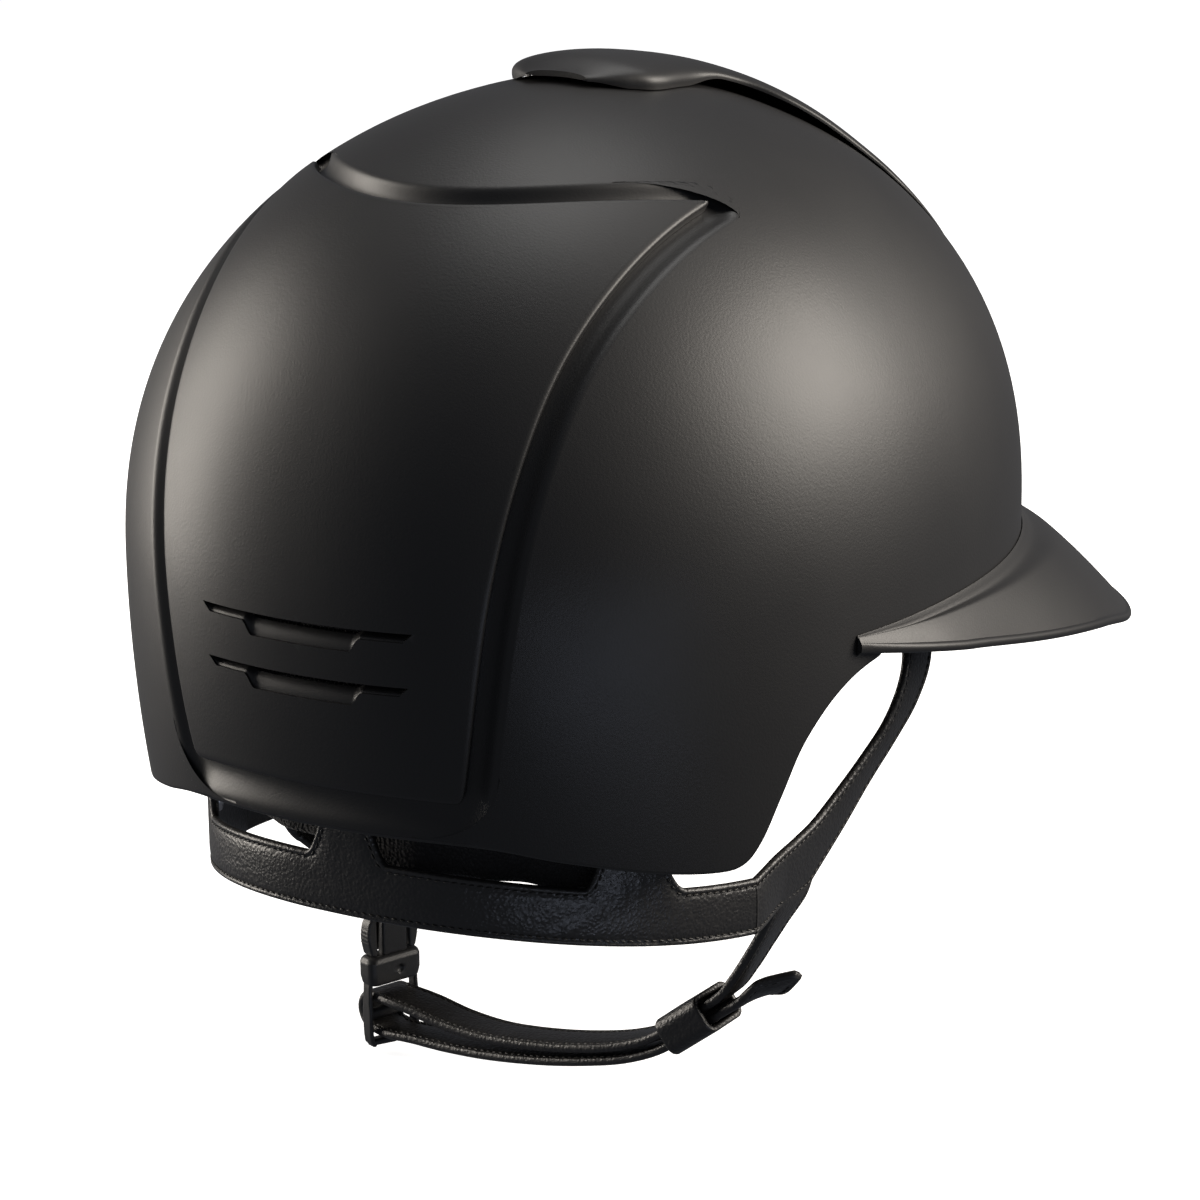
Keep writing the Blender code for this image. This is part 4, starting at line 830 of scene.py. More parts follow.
def stitch_row(edge, inside, normal, thick):
    """Points, faces of stitches set in from an edge; inside and normal are per point of the edge."""
    run = lengths(edge)
    count = max(2, int(run[-1] / STITCH_PITCH))
    spots = (np.arange(count) + 0.5) / count * run[-1]
    at, into, out = (along(spots, run, v) for v in (edge, inside, normal))
    ahead = along(spots + 3e-4, run, edge) - along(spots - 3e-4, run, edge)
    ahead /= np.maximum(np.linalg.norm(ahead, axis=1, keepdims=True), 1e-9)
    slant = ahead + 0.16 * into
    base = at + into * STITCH_INSET + out * (thick / 2 - 0.00008)
    sides, tracks = 6, []
    for t in np.linspace(-1, 1, 7):
        girth = THREAD * math.sqrt(max(1 - t**4, 0.03))
        sink = 0.00016 * t**4
        for a in np.linspace(0, 2 * math.pi, sides, endpoint=False):
            tracks.append(base + slant * (t * STITCH_LENGTH / 2) + into * (girth * math.cos(a))
                          + out * (girth * math.sin(a) - sink))
    points = np.stack(tracks, 1)
    faces = [tuple(i + k * 7 * sides for i in face) for k in range(count) for face in capped_faces(7, sides)]
    return points.reshape(-1, 3), faces


def joined(parts):
    """Several (points, faces) as one."""
    points, faces, start = [], [], 0
    for some, quads in parts:
        points.append(some)
        faces += [tuple(i + start for i in face) for face in quads]
        start += len(some)
    return np.vstack(points), faces


def leather(name, low, top, normal, body, replaces, thick=LEATHER, feather=None, ends=(), both_sides=False,
            sewn=slice(None), folds=()):
    """A leather strip between two edge lines, stitched along both. Folds are ridges: (line, height, width)."""
    share = np.array([0, 0.012, 0.03, 0.055, 0.08, 0.105, 0.13, 0.16, 0.20, 0.27, 0.38])
    share = np.concatenate([share, [0.5], 1 - share[::-1]])[:, None, None]
    grid = low[None] * (1 - share) + top[None] * share
    near = np.minimum(distance_to(grid, low), distance_to(grid, top))
    for end in ends:
        near = np.minimum(near, distance_to(grid, np.array([low[end], top[end]])))
    scale = np.ones(len(low)) if feather is None else feather
    height = relief(near, thick) * scale[None]
    for ridge, rise, wide in folds:
        height += rise * np.exp(-(distance_to(grid, np.array(ridge)) / wide) ** 2)
    under = relief(near, thick) if both_sides else rolled_edge(near, thick)
    lift = normal[None]
    points = np.vstack([(grid + lift * height[..., None]).reshape(-1, 3),
                        (grid - lift * (under * scale[None])[..., None]).reshape(-1, 3)])
    made = piece(name, points, stitched_faces(*grid.shape[:2]), black_leather, body, "leather", replaces,
                 sharp=55)
    inside = top - low
    inside /= np.linalg.norm(inside, axis=1, keepdims=True)
    rows = []
    for edge, towards in ((low, inside), (top, -inside)):
        ahead = np.gradient(edge, axis=0)
        ahead /= np.maximum(np.linalg.norm(ahead, axis=1, keepdims=True), 1e-9)
        square = np.cross(normal, ahead)
        square /= np.linalg.norm(square, axis=1, keepdims=True)
        square *= np.sign((square * towards).sum(1, keepdims=True))
        rows.append(stitch_row(edge[sewn], square[sewn], normal[sewn], thick))
        if both_sides:
            rows.append(stitch_row(edge[sewn], square[sewn], -normal[sewn], thick))
    thread = piece(f"{name}_stitching", *joined(rows), thread_black, body, "leather")
    return made, thread


def band_y(x):
    share = np.clip(np.abs(x) / BAND_HALF_WIDTH, 0, 1)
    return BAND_REAR * (1 - share**BAND_EXPONENT) ** (1 / BAND_EXPONENT)


x = np.sin(np.linspace(-1, 1, 2001) * math.asin(BAND_END_X / BAND_HALF_WIDTH)) * BAND_HALF_WIDTH
x *= BAND_END_X / np.abs(x).max()
line = np.stack([x, band_y(x), 0 * x], 1)
run = lengths(line)
x = np.interp(np.linspace(0, run[-1], 420), run, x)
share = np.abs(x) / BAND_END_X
low_z = BAND_LOW - BAND_LOW_DROP * share**BAND_LOW_POWER
top_z = BAND_TOP - BAND_TOP_DROP * share**BAND_TOP_POWER
for middle, half, rise, fillet in TABS:
    gap = np.clip((np.abs(x - middle) - half) / fillet, 0, 1)
    top_z = top_z + rise * (1 - gap) ** 2 * (1 + 0.6 * gap)
line = np.stack([x, band_y(x)], 1)
ahead = np.gradient(line, axis=0)
band_normal = np.stack([-ahead[:, 1], ahead[:, 0], 0 * x], 1)
band_normal /= np.linalg.norm(band_normal, axis=1, keepdims=True)
edges = [np.stack([x, line[:, 1], z], 1) for z in (low_z, top_z)]
# one raised crease by the right tab, with a shallow hollow on each side: (x, z) points, height, width
CREASES = ((((-0.0520, -0.0160), (-0.0580, -0.0105), (-0.0640, -0.0060)), 0.00050, 0.0011),
           (((-0.0480, -0.0150), (-0.0560, -0.0110)), -0.00022, 0.0018),
           (((-0.0600, -0.0125), (-0.0660, -0.0090)), -0.0002, 0.0016))
folds = [([(at, float(band_y(at)), z) for at, z in points], rise, wide) for points, rise, wide in CREASES]
leather("nape_band_leather", *edges, band_normal, "helmet", ["nape_band"], folds=folds)

# ---------------------------------------------------------------- side straps
# Each side strap comes down from the brow inside the shell, widens, and runs into the nape band.
# Same folded leather; a rivet at its top holds it to the liner.

YOKE_REAR_EDGE = ((-0.030, 0.062), (-0.026, 0.045), (-0.0195, 0.029), (-0.0115, 0.0150), (-0.002, 0.0057),
                  (0.014, -0.0050), (0.025, -0.0085), (0.037, -0.0105), (0.0482, -0.0125))
YOKE_FRONT_EDGE = ((-0.0430, 0.062), (-0.0385, 0.045), (-0.0328, 0.0260), (-0.0262, 0.0147), (-0.0185, 0.0052),
                   (-0.0034, -0.0105), (0.0133, -0.0234), (0.0170, -0.0255), (0.027, -0.0264), (0.034, -0.0266),
                   (0.0482, -0.0274))
YOKE_SPREAD = ((-0.030, 0.0750), (-0.015, 0.0775), (-0.005, 0.0795), (0.0055, 0.0828), (0.015, 0.0855),
               (0.025, 0.0862), (0.034, 0.0838), (0.045, 0.0780), (0.062, 0.0756))
YOKE_END_Y, YOKE_END_BLEND = 0.0475, 0.028


def even(route, count):
    """A line's points again, equally far apart."""
    run = lengths(route)
    return along(np.linspace(0, run[-1], count), run, route)


def yoke_x(y, z):
    """How far out the side straps lie, drawn in to meet the nape band."""
    spread_line = smooth(YOKE_SPREAD, 200)
    out = np.interp(z, spread_line[:, 0], spread_line[:, 1])
    share = ease(y, YOKE_END_BLEND, YOKE_END_Y)
    return out * (1 - share) + BAND_END_X * share


rear_edge, front_edge = (smooth(e, 240) for e in (YOKE_REAR_EDGE, YOKE_FRONT_EDGE))
rear_edge, front_edge = (even(e, 200) for e in (rear_edge, front_edge))
for side_name, side in (("left", 1), ("right", -1)):
    low, top = (np.stack([side * yoke_x(e[:, 0], e[:, 1]), e[:, 0], e[:, 1]], 1) for e in (front_edge, rear_edge))
    ahead, over = np.gradient((low + top) / 2, axis=0), top - low
    normal = np.cross(ahead, over)
    normal /= np.linalg.norm(normal, axis=1, keepdims=True)
    normal *= np.sign(normal[:, :1]) * side
    normal = softened(normal, 6, closed=False)
    share = ease(np.linspace(0, 1, len(normal)), 0.86, 1.0)[:, None]
    normal = normal * (1 - share) + band_normal[-1 if side > 0 else 0] * share
    leather(f"side_strap_{side_name}", low, top, normal, "helmet", [f"yoke_strap_{side_name}"], ends=(0,))

# ---------------------------------------------------------------- chin strap
# Two plies of folded leather: the main strap runs from the right side strap to the buckle, goes
# round its bar and comes back beneath itself through the keeper, to a pointed end.

STRAP_WIDTH = 0.013
CHIN_MAIN = ((-0.0776, 0.0230, -0.0140), (-0.0766, 0.0240, -0.0200), (-0.0752, 0.0260, -0.0270),
             (-0.0722, 0.0270, -0.0335), (-0.0682, 0.027, -0.0405), (-0.0640, 0.0275, -0.0475),
             (-0.0596, 0.028, -0.0534), (-0.0498, 0.028, -0.0608), (-0.0400, 0.028, -0.0681),
             (-0.0310, 0.028, -0.0722), (-0.0200, 0.0278, -0.0752), (-0.0050, 0.0270, -0.0780),
             (0.0120, 0.0258, -0.0798), (0.0260, 0.0245, -0.0794), (0.0375, 0.0235, -0.0776),
             (0.0452, 0.0229, -0.0768), (0.0500, 0.0214, -0.0768))
CHIN_FRONT_REACH = ((-0.0140, 0.0148), (-0.0200, 0.0122), (-0.0270, 0.0098), (-0.0335, 0.0075), (-0.0405, 0.0065))
CHIN_REAR_REACH = ((-0.0140, 0.0100), (-0.0200, 0.0090), (-0.0270, 0.0076), (-0.0335, 0.0067), (-0.0405, 0.0065))
CHIN_RETURN = ((-0.0806, 0.028, -0.0444), (-0.0742, 0.028, -0.0485), (-0.0680, 0.028, -0.0522),
               (-0.0618, 0.028, -0.0564), (-0.0520, 0.028, -0.0638), (-0.0423, 0.028, -0.0711),
               (-0.0320, 0.028, -0.0758), (-0.0205, 0.0278, -0.0790), (-0.0055, 0.0270, -0.0822),
               (0.0115, 0.0258, -0.0848), (0.0255, 0.0245, -0.0860),
               (0.0375, 0.0235, -0.0862), (0.0452, 0.0229, -0.0866), (0.0500, 0.0214, -0.0868))
BUCKLE_FOOT, BUCKLE_YAW = (0.0505, 0.0210), math.radians(20)
ACROSS = np.array([math.sin(BUCKLE_YAW), math.cos(BUCKLE_YAW), 0])
OUT = np.array([-math.cos(BUCKLE_YAW), math.sin(BUCKLE_YAW), 0])
LOOP_DEPTH = 0.0058
TAIL_TWIST = math.radians(-36)


def strap_edges(route, front_reach, rear_reach, turned_from=None, twist=None):
    """Edge lines and normals of a flat strap whose width lies along Y, or turns to the buckle's width."""
    ahead = np.gradient(route, axis=0)
    across = np.tile([0.0, 1.0, 0.0], (len(route), 1))
    if turned_from is not None:
        share = ease(np.arange(len(route)) / len(route), turned_from, 0.97)[:, None]
        across = across * (1 - share) + ACROSS * share
    across = across - ahead * ((across * ahead).sum(1) / (ahead * ahead).sum(1))[:, None]
    across /= np.linalg.norm(across, axis=1, keepdims=True)
    normal = np.cross(ahead, across)
    normal /= np.linalg.norm(normal, axis=1, keepdims=True)
    if twist is not None:
        level, tipped = np.cos(twist)[:, None], np.sin(twist)[:, None]
        across, normal = across * level - normal * tipped, normal * level + across * tipped
    front_reach, rear_reach = (np.broadcast_to(r, len(route))[:, None] for r in (front_reach, rear_reach))
    return route - across * front_reach, route + across * rear_reach, normal


def narrowing(route, early):
    """Front and rear half widths as the strap leaves the side strap, then its own width."""
    start = np.arange(len(route)) < early
    for heights, halves in (np.array(reach).T for reach in (CHIN_FRONT_REACH, CHIN_REAR_REACH)):
        yield np.where(start, np.interp(-route[:, 2], -heights, halves), STRAP_WIDTH / 2)


route = even(smooth(CHIN_MAIN, 600), 260)
front, rear = narrowing(route, 70)
low, top, normal = strap_edges(route, front, rear, 0.55)
normal *= np.sign(normal[0, 0]) * -1
feather = 0.1 + 0.95 * ease(np.arange(len(route)) / len(route), 0.0, 0.09)
chin_main = leather("chin_strap_upper", low, top, normal, None, ["chin_strap"], feather=feather, both_sides=True,
                    sewn=slice(22, None))
route = even(smooth(CHIN_RETURN, 600), 240)
run = lengths(route)
point = np.clip(run / 0.0105, 0, 1)
half = (0.0012 + 0.0048 * point**0.9)
tail_twist = TAIL_TWIST * (1 - ease(run, 0.006, 0.020))
low, top, normal = strap_edges(route, half, half, 0.55, tail_twist)
chin_return = leather("chin_strap_return", low, top, normal, None, ["chin_strap_end"], both_sides=True, ends=(0,),
                      sewn=slice(8, None))

# the turn round the ladder's bar, which goes with the buckle
centre = np.array([*BUCKLE_FOOT, 0.0])
high_z, deep_z = CHIN_MAIN[-1][2], CHIN_RETURN[-1][2]
middle, radius = (high_z + deep_z) / 2, (high_z - deep_z) / 2
bend = [centre + OUT * 0.0012 + (0, 0, high_z)]
for a in np.linspace(0.2, math.pi - 0.2, 24):
    bend.append(centre - OUT * (0.0006 + LOOP_DEPTH * math.sin(a)) + (0, 0, middle + radius * math.cos(a)))
bend.append(centre + OUT * 0.0012 + (0, 0, deep_z))
route = even(smooth(bend, 300), 90)
ahead = np.gradient(route, axis=0)
normal = np.cross(ahead, ACROSS)
normal /= np.linalg.norm(normal, axis=1, keepdims=True)
low, top = route - ACROSS * 0.0062, route + ACROSS * 0.0062
leather("chin_strap_turn", low, top, -normal, "plug", ["strap_loop"])
for made in (*chin_main, *chin_return):
    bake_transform(made)

# ---------------------------------------------------------------- keeper
# A short tube of the same leather that holds the two layers together and slides along them.

KEEPER_CENTRE, KEEPER_ALONG = np.array([-0.0509, 0.028, -0.0623]), np.array([0.797, 0, -0.604])
KEEPER_LENGTH, KEEPER_WALL, KEEPER_INSIDE, KEEPER_CORNER = 0.0150, 0.0016, (0.0146, 0.0074), 0.0016
KEEPER_WIDE = np.array([0.0, 1.0, 0.0])
KEEPER_DEEP = np.cross(KEEPER_ALONG, KEEPER_WIDE)


def rounded_box_line(half_wide, half_deep, corner, count=16):
    """A rounded rectangle as a closed line of (wide, deep) points, dense along its flats too."""
    points = []
    for k, (sx, sy) in enumerate(((1, 1), (-1, 1), (-1, -1), (1, -1))):
        turn = np.linspace(0, math.pi / 2, count) + k * math.pi / 2
        arc = np.stack([sx * (half_wide - corner) + corner * np.cos(turn),
                        sy * (half_deep - corner) + corner * np.sin(turn)], 1)
        points.append(arc)
        ax, ay = ((-1, 1), (-1, -1), (1, -1), (1, 1))[k]
        end = (half_wide - corner, half_deep) if k % 2 == 0 else (half_wide, half_deep - corner)
        points.append(arc[-1] + (np.array(end) * (ax, ay) - arc[-1]) * np.linspace(0, 1, count // 2 + 2)[1:-1, None])
    return np.vstack(points)


half_wide, half_deep = KEEPER_INSIDE[0] / 2, KEEPER_INSIDE[1] / 2
inner = rounded_box_line(half_wide, half_deep, KEEPER_CORNER)
outer = rounded_box_line(half_wide + KEEPER_WALL, half_deep + KEEPER_WALL, KEEPER_CORNER + KEEPER_WALL)
rounding, lip = 0.0005, ((0.10, 0.00015), (0.30, 0.0), (0.70, 0.0), (0.90, 0.00015))
tracks = []
half = KEEPER_LENGTH / 2
steps = [(0.0, -half + rounding)] + [(s, -half + d) for s, d in lip]
steps += [(1.0, -half + rounding)] + [(1.0, v) for v in np.linspace(-half + 0.001, half - 0.001, 14)]
steps += [(1.0, half - rounding)] + [(s, half - d) for s, d in lip[::-1]]
steps += [(0.0, half - rounding)] + [(0.0, v) for v in np.linspace(half - 0.001, -half + 0.001, 10)]
for share, place in steps:
    ring = inner * (1 - share) + outer * share
    tracks.append(KEEPER_CENTRE + ring[:, :1] * KEEPER_WIDE + ring[:, 1:] * KEEPER_DEEP + place * KEEPER_ALONG)
tracks = np.stack(tracks)
piece("keeper_loop", tracks, grid_faces(*tracks.shape[:2], True, True), black_leather, "keeper", "leather",
      ["strap_keeper"])

# ---------------------------------------------------------------- short strap
# On the wearer's left a short length of the same strap comes down from the side strap to the buckle.

SHORT_STRAP = ((0.0778, 0.0232, -0.0140), (0.0768, 0.0244, -0.0200), (0.0750, 0.027, -0.0270),
               (0.0716, 0.0266, -0.0318), (0.0650, 0.0250, -0.0355), (0.0575, 0.0230, -0.0362),
               (0.0520, 0.0214, -0.0374), (0.0505, 0.0210, -0.0406), (0.0505, 0.0210, -0.0440))
route = even(smooth(SHORT_STRAP, 400), 120)
front, rear = narrowing(route, 50)
low, top, normal = strap_edges(route, front, rear, 0.3)
feather = 0.1 + 0.95 * ease(np.arange(len(route)) / len(route), 0.0, 0.12)
leather("short_strap_left", low, top, normal * np.sign(normal[0, 0]), "chin_strap", ["short_strap"], feather=feather,
        both_sides=True, sewn=slice(16, None))

# ---------------------------------------------------------------- buckle
# Side-release buckle in dark grey nylon. The socket hangs on the short strap; the plug has two
# sprung prongs, a tongue and a ladder that the chin strap threads.

BASE_TOP, BASE_DROP, BASE_SIZE = -0.0650, 0.0085, (0.0173, 0.0067)
SOCKET_TOP, SOCKET_SHOULDER, SOCKET_SIZE = -0.0420, -0.0530, (0.0145, 0.0067)
SOCKET_SLOT = (-0.0484, -0.0456)
PLATE_HALF, PLATE_WALL, PLATE_FACE = 0.0039, 0.0014, 0.00295
TONGUE_HALF, TONGUE_WALL = 0.0032, 0.0030
PRONG_PLACE, PRONG_WALL, PRONG_DEPTH, PRONG_BOW = 0.0063, 0.0019, 0.0045, 0.0011
LADDER_FOOT, LADDER_SIDE, LADDER_HALF_DEPTH, LADDER_INSET = -0.0915, 0.0013, 0.0018, 0.0002
BAR_HIGH, BAR_LOW, FOOT_BAR = -0.0800, -0.0838, 0.0022
DIMPLE_RADIUS, DIMPLE_DROP, DIMPLE_ASIDE = 0.0012, 0.0045, -0.001
GAP = 0.0003

buckle_nylon = satin_plastic("buckle_nylon", (0.026, 0.026, 0.027), (0.07, 0.07, 0.072), 0.44, 2600.0, 0.00005)


def moulded(along, stations, corner, edge=0.0006, count=10):
    """Points, faces of a moulded bar along "z" or "u"; stations are (place, mid a, mid b, half a, half b)."""
    stations = [np.array(s, float) for s in stations]
    first, last = stations[0], stations[-1]
    turn = np.linspace(0, math.pi / 2, 5)
    sign = 1 if last[0] > first[0] else -1
    ends = []
    for end, way in ((first, sign), (last, -sign)):
        rounded = []
        for t in turn[:-1]:
            inset = edge * (1 - math.sin(t))
            rounded.append(end + (way * edge * (1 - math.cos(t)), 0, 0, 0, 0) - (0, 0, 0, inset, inset))
        ends.append(rounded)
    inner = [s for s in stations if abs(s[0] - first[0]) >= edge and abs(s[0] - last[0]) >= edge]
    start, finish = first + (sign * edge, 0, 0, 0, 0), last - (sign * edge, 0, 0, 0, 0)
    rings = []
    for place, mid_a, mid_b, half_a, half_b in [*ends[0], start, *inner, finish, *ends[1][::-1]]:
        line = rounded_box_line(half_a, half_b, min(corner, 0.95 * half_a, 0.95 * half_b), count) + (mid_a, mid_b)
        if along == "z":
            ring = centre + line[:, :1] * ACROSS + line[:, 1:] * OUT + (0, 0, place)
        else:
            ring = centre + place * ACROSS + line[:, :1] * OUT + line[:, 1:] * (0, 0, 1)
        rings.append(ring)
    rings = np.array(rings)
    return rings.reshape(-1, 3), capped_faces(*rings.shape[:2])


half, depth = SOCKET_SIZE[0] / 2, SOCKET_SIZE[1] / 2
low, high = SOCKET_SLOT
post = 0.0018
socket_parts = [
    moulded("z", [(SOCKET_SHOULDER, 0, 0, half, depth), (SOCKET_SHOULDER + 0.0022, 0, 0, half - 0.0002, depth),
                  (low, 0, 0, half - 0.0005, depth - 0.0002)], 0.0016, 0.0008),
    moulded("z", [(high, 0, 0, half - 0.0006, depth - 0.0003), (high + 0.0015, 0, 0, half - 0.0009, depth - 0.0005),
                  (SOCKET_TOP, 0, 0, half - 0.0016, depth - 0.0010)], 0.0018, 0.0010)]
for side in (-1, 1):
    place = side * (half - post / 2 - 0.0005)
    socket_parts.append(moulded("z", [(low - 0.0015, place, 0, post / 2, depth - 0.0004),
                                      (high + 0.0015, place, 0, post / 2, depth - 0.0006)], 0.0007))
    wall = side * (PLATE_FACE - PLATE_WALL / 2)
    socket_parts.append(moulded("z", [(BASE_TOP + GAP, 0, wall, PLATE_HALF, PLATE_WALL / 2 - 0.0001),
                                      (SOCKET_SHOULDER + 0.0015, 0, wall, PLATE_HALF, PLATE_WALL / 2)], 0.0006, 0.0004))
piece("buckle_socket_moulding", *joined(socket_parts), buckle_nylon, "chin_strap", "nylon", ["buckle_socket"],
      sharp=50)

half, depth = BASE_SIZE[0] / 2, BASE_SIZE[1] / 2
foot = BASE_TOP - BASE_DROP
base = piece("buckle_plug_moulding", *moulded(
    "z", [(foot, 0, 0, half - 0.0003, depth - 0.0002), (foot + 0.003, 0, 0, half, depth),
          *((foot + z, 0, 0, half, depth) for z in np.arange(0.0035, 0.0070, 0.0005)),
          (BASE_TOP - 0.0015, 0, 0, half, depth), (BASE_TOP, 0, 0, half - 0.0001, depth - 0.0001)], 0.0022, 0.0014, 14),
    buckle_nylon, "plug", "nylon", ["buckle_plug"], sharp=50)
above = centre + ACROSS * DIMPLE_ASIDE + OUT * (depth + 0.0004) + (0, 0, BASE_TOP - DIMPLE_DROP)
bowl = []
for t in np.linspace(0, math.pi, 14)[1:-1]:
    for a in np.linspace(0, 2 * math.pi, 32, endpoint=False):
        round_it = math.cos(a) * ACROSS + math.sin(a) * np.array((0, 0, 1))
        bowl.append(above + DIMPLE_RADIUS * 1.15 * (math.sin(t) * round_it + 0.8 * math.cos(t) * OUT))
cut(base, piece("dimple_cutter", bowl, capped_faces(12, 32), buckle_nylon, None))

side_place = half - LADDER_INSET - LADDER_SIDE / 2
ladder = [moulded("z", [(BASE_TOP - 0.002, 0, 0, TONGUE_HALF, TONGUE_WALL / 2 - 0.0002),
                        (SOCKET_SHOULDER - 2 * GAP, 0, 0, TONGUE_HALF - 0.0004, TONGUE_WALL / 2 - 0.0005)], 0.0006)]
for side in (-1, 1):
    waist = [(z, side * (side_place - inset), 0, LADDER_SIDE / 2, LADDER_HALF_DEPTH - thin) for z, inset, thin in
             ((foot + 0.002, 0.0004, 0.0), (foot - 0.001, 0.0002, 0.0002), (-0.0790, 0.0, 0.0001),
              (BAR_HIGH, 0.0, -0.0001), ((BAR_HIGH + BAR_LOW) / 2, 0.0, -0.0002),
              (BAR_LOW, 0.0, -0.0001), (-0.0875, 0.0001, 0.0),
              (-0.0898, 0.0004, 0.0), (LADDER_FOOT + 0.0002, 0.0012, 0.0002))]
    ladder.append(moulded("z", waist, 0.0006, 0.0005))
reach = side_place - 0.0002
ladder.append(moulded("u", [(-reach, 0, (BAR_HIGH + BAR_LOW) / 2, 0.0013, 0.0016),
                            (reach, 0, (BAR_HIGH + BAR_LOW) / 2, 0.0013, 0.0016)], 0.0012))
middle_z = LADDER_FOOT + FOOT_BAR / 2
ladder.append(moulded("u", [(-reach, 0, middle_z + 0.0004, 0.0016, 0.0009), (0, 0, middle_z, 0.0017, FOOT_BAR / 2),
                            (reach, 0, middle_z + 0.0004, 0.0016, 0.0009)], 0.0009))
piece("buckle_ladder", *joined(ladder), buckle_nylon, "plug", "nylon", sharp=50)

for side_name, side in (("front", -1), ("rear", 1)):
    stations = []
    for share in np.linspace(0, 1, 41):
        bow = PRONG_BOW * math.sin(math.pi * share)
        grip = 0.00012 * max(0.0, math.sin((share - 0.3) / 0.4 * 8 * math.pi)) if 0.3 < share < 0.7 else 0.0
        hook = 0.00035 * math.exp(-((share - 0.9) / 0.06) ** 2)
        thick = PRONG_WALL + bow + grip - hook
        height = BASE_TOP + GAP + share * (SOCKET_SHOULDER - BASE_TOP - 2 * GAP)
        aside = side * (PRONG_PLACE - PRONG_WALL / 2 + thick / 2)
        stations.append((height, aside, 0, thick / 2, PRONG_DEPTH / 2 - 0.0003 * share))
    piece(f"buckle_spring_{side_name}", *moulded("z", stations, 0.0007, 0.0004), buckle_nylon, f"prong_{side_name}",
          "nylon", [f"buckle_prong_{side_name}"], sharp=50)

# ---------------------------------------------------------------- impact liner
# A bowl of expanded foam beads that fills the shell, with four air channels from front to back.

LINER_OUT, LINER_IN, LINER_SHORTER = 0.0033, 0.0240, 0.0020
POCKET_ROOM, RIM_ROLL = 0.0036, 0.0012
DOME_TOP = DOME_WIDEST_Z + DOME_RISE
AIR_CHANNELS, CHANNEL_WIDE, CHANNEL_DEEP = (-0.046, -0.017, 0.017, 0.046), 0.0045, 0.0030

foam_black, tree, shader, place = new_material("foam_beads")
beads = texture(tree, "ShaderNodeTexVoronoi", place, Scale=330.0)
beads.feature = "DISTANCE_TO_EDGE"
seams = spread(tree, beads.outputs["Distance"], 0.0, 1.0)
tree.links.new(mixed(tree, seams, (0.010, 0.010, 0.010), (0.038, 0.037, 0.036)), shader.inputs["Base Color"])
shader.inputs["Roughness"].default_value = 0.78
bumped(tree, shader, beads.outputs["Distance"], 0.0009)


def bowl_rings(raised, rows, columns):
    """Rings of the dome from the rim up to near the crown."""
    foot = rim_point(np.linspace(0, 2 * math.pi, columns, endpoint=False), raised)[None, :, 2]
    angle = np.linspace(0, 2 * math.pi, columns, endpoint=False)
    share = np.linspace(0, 0.985, rows)[:, None]
    z = foot + (DOME_TOP - foot) * np.sin(share * math.pi / 2)
    return dome(angle[None], np.minimum(z, DOME_TOP - 2e-4))


outer_surface = bowl_rings(LINER_SHORTER, 70, 288)
outward_rows = outward(outer_surface)
across, lengthways, height = np.moveaxis(outer_surface, -1, 0)
pocket = ease(lengthways, 0.015, 0.045) * (1 - ease(np.abs(across), 0.062, 0.070))
outer = outer_surface - outward_rows * (LINER_OUT + POCKET_ROOM * pocket)[..., None]
groove = np.zeros(height.shape)
for middle in AIR_CHANNELS:
    groove += np.exp(-((across * 0.78 - middle * 0.78) / CHANNEL_WIDE) ** 4)
groove *= ease(height, 0.060, 0.090) * (1 - ease(height, 0.160, 0.172))
inner = outer_surface - outward_rows * (LINER_IN - CHANNEL_DEEP * groove)[..., None]
rim_roll = [outer[0] * (1 - t) + inner[0] * t - np.array([0, 0, RIM_ROLL * math.sin(math.pi * t)])
            for t in (0.12, 0.3, 0.5, 0.7, 0.88)]
rows = np.concatenate([outer[::-1], np.array(rim_roll), inner])
piece("foam_bowl", rows, capped_faces(*rows.shape[:2]), foam_black, "helmet", "foam", ["impact_liner"])

# ---------------------------------------------------------------- lining
# Knitted black lining: a soft rolled edge glued along the liner's lower edge all round.

knit, tree, shader, place = new_material("lining_knit")
loops = texture(tree, "ShaderNodeTexVoronoi", place, Scale=1150.0)
fuzz = texture(tree, "ShaderNodeTexNoise", place, Scale=260.0, Detail=5.0)
yarn = mixed(tree, fuzz.outputs["Fac"], (0.009, 0.009, 0.010), (0.026, 0.025, 0.026))
tree.links.new(yarn, shader.inputs["Base Color"])
tree.links.new(spread(tree, loops.outputs["Distance"], 0.75, 0.98), shader.inputs["Roughness"])
shader.inputs["Sheen Weight"].default_value = 0.35
shader.inputs["Sheen Roughness"].default_value = 0.5
bumped(tree, shader, loops.outputs["Distance"], 0.0004)

LINING_DEPTH, LINING_HALF, LINING_THICK = 0.0140, 0.0075, 0.0024
angle = np.linspace(0, 2 * math.pi, 420, endpoint=False)
foot = rim_point(angle, LINER_SHORTER)
level_facing = outward(foot) * (1, 1, 0)
level_facing /= np.linalg.norm(level_facing, axis=1, keepdims=True)
pucker = 0.0002 * np.sin(angle * 55) + 0.00015 * np.sin(angle * 23 + 1)
rings = []
for a in np.linspace(0, 2 * math.pi, 20, endpoint=False):
    wide = LINING_HALF * math.copysign(abs(math.cos(a)) ** 0.8, math.cos(a))
    tall = (LINING_THICK + pucker) * math.sin(a)
    rings.append(foot - level_facing * (LINING_DEPTH - wide) + np.stack([0 * angle, 0 * angle, tall - 0.0012], 1))
piece("lining_edge", np.array(rings), grid_faces(20, 420, wrap_rows=True, wrap_columns=True), knit, "helmet", "lining")

# ---------------------------------------------------------------- lining hem
# At the back the lining ends in a loose hem. It hangs free from the liner's inner edge, ripples a
# little, and lies lower on the wearer's right.

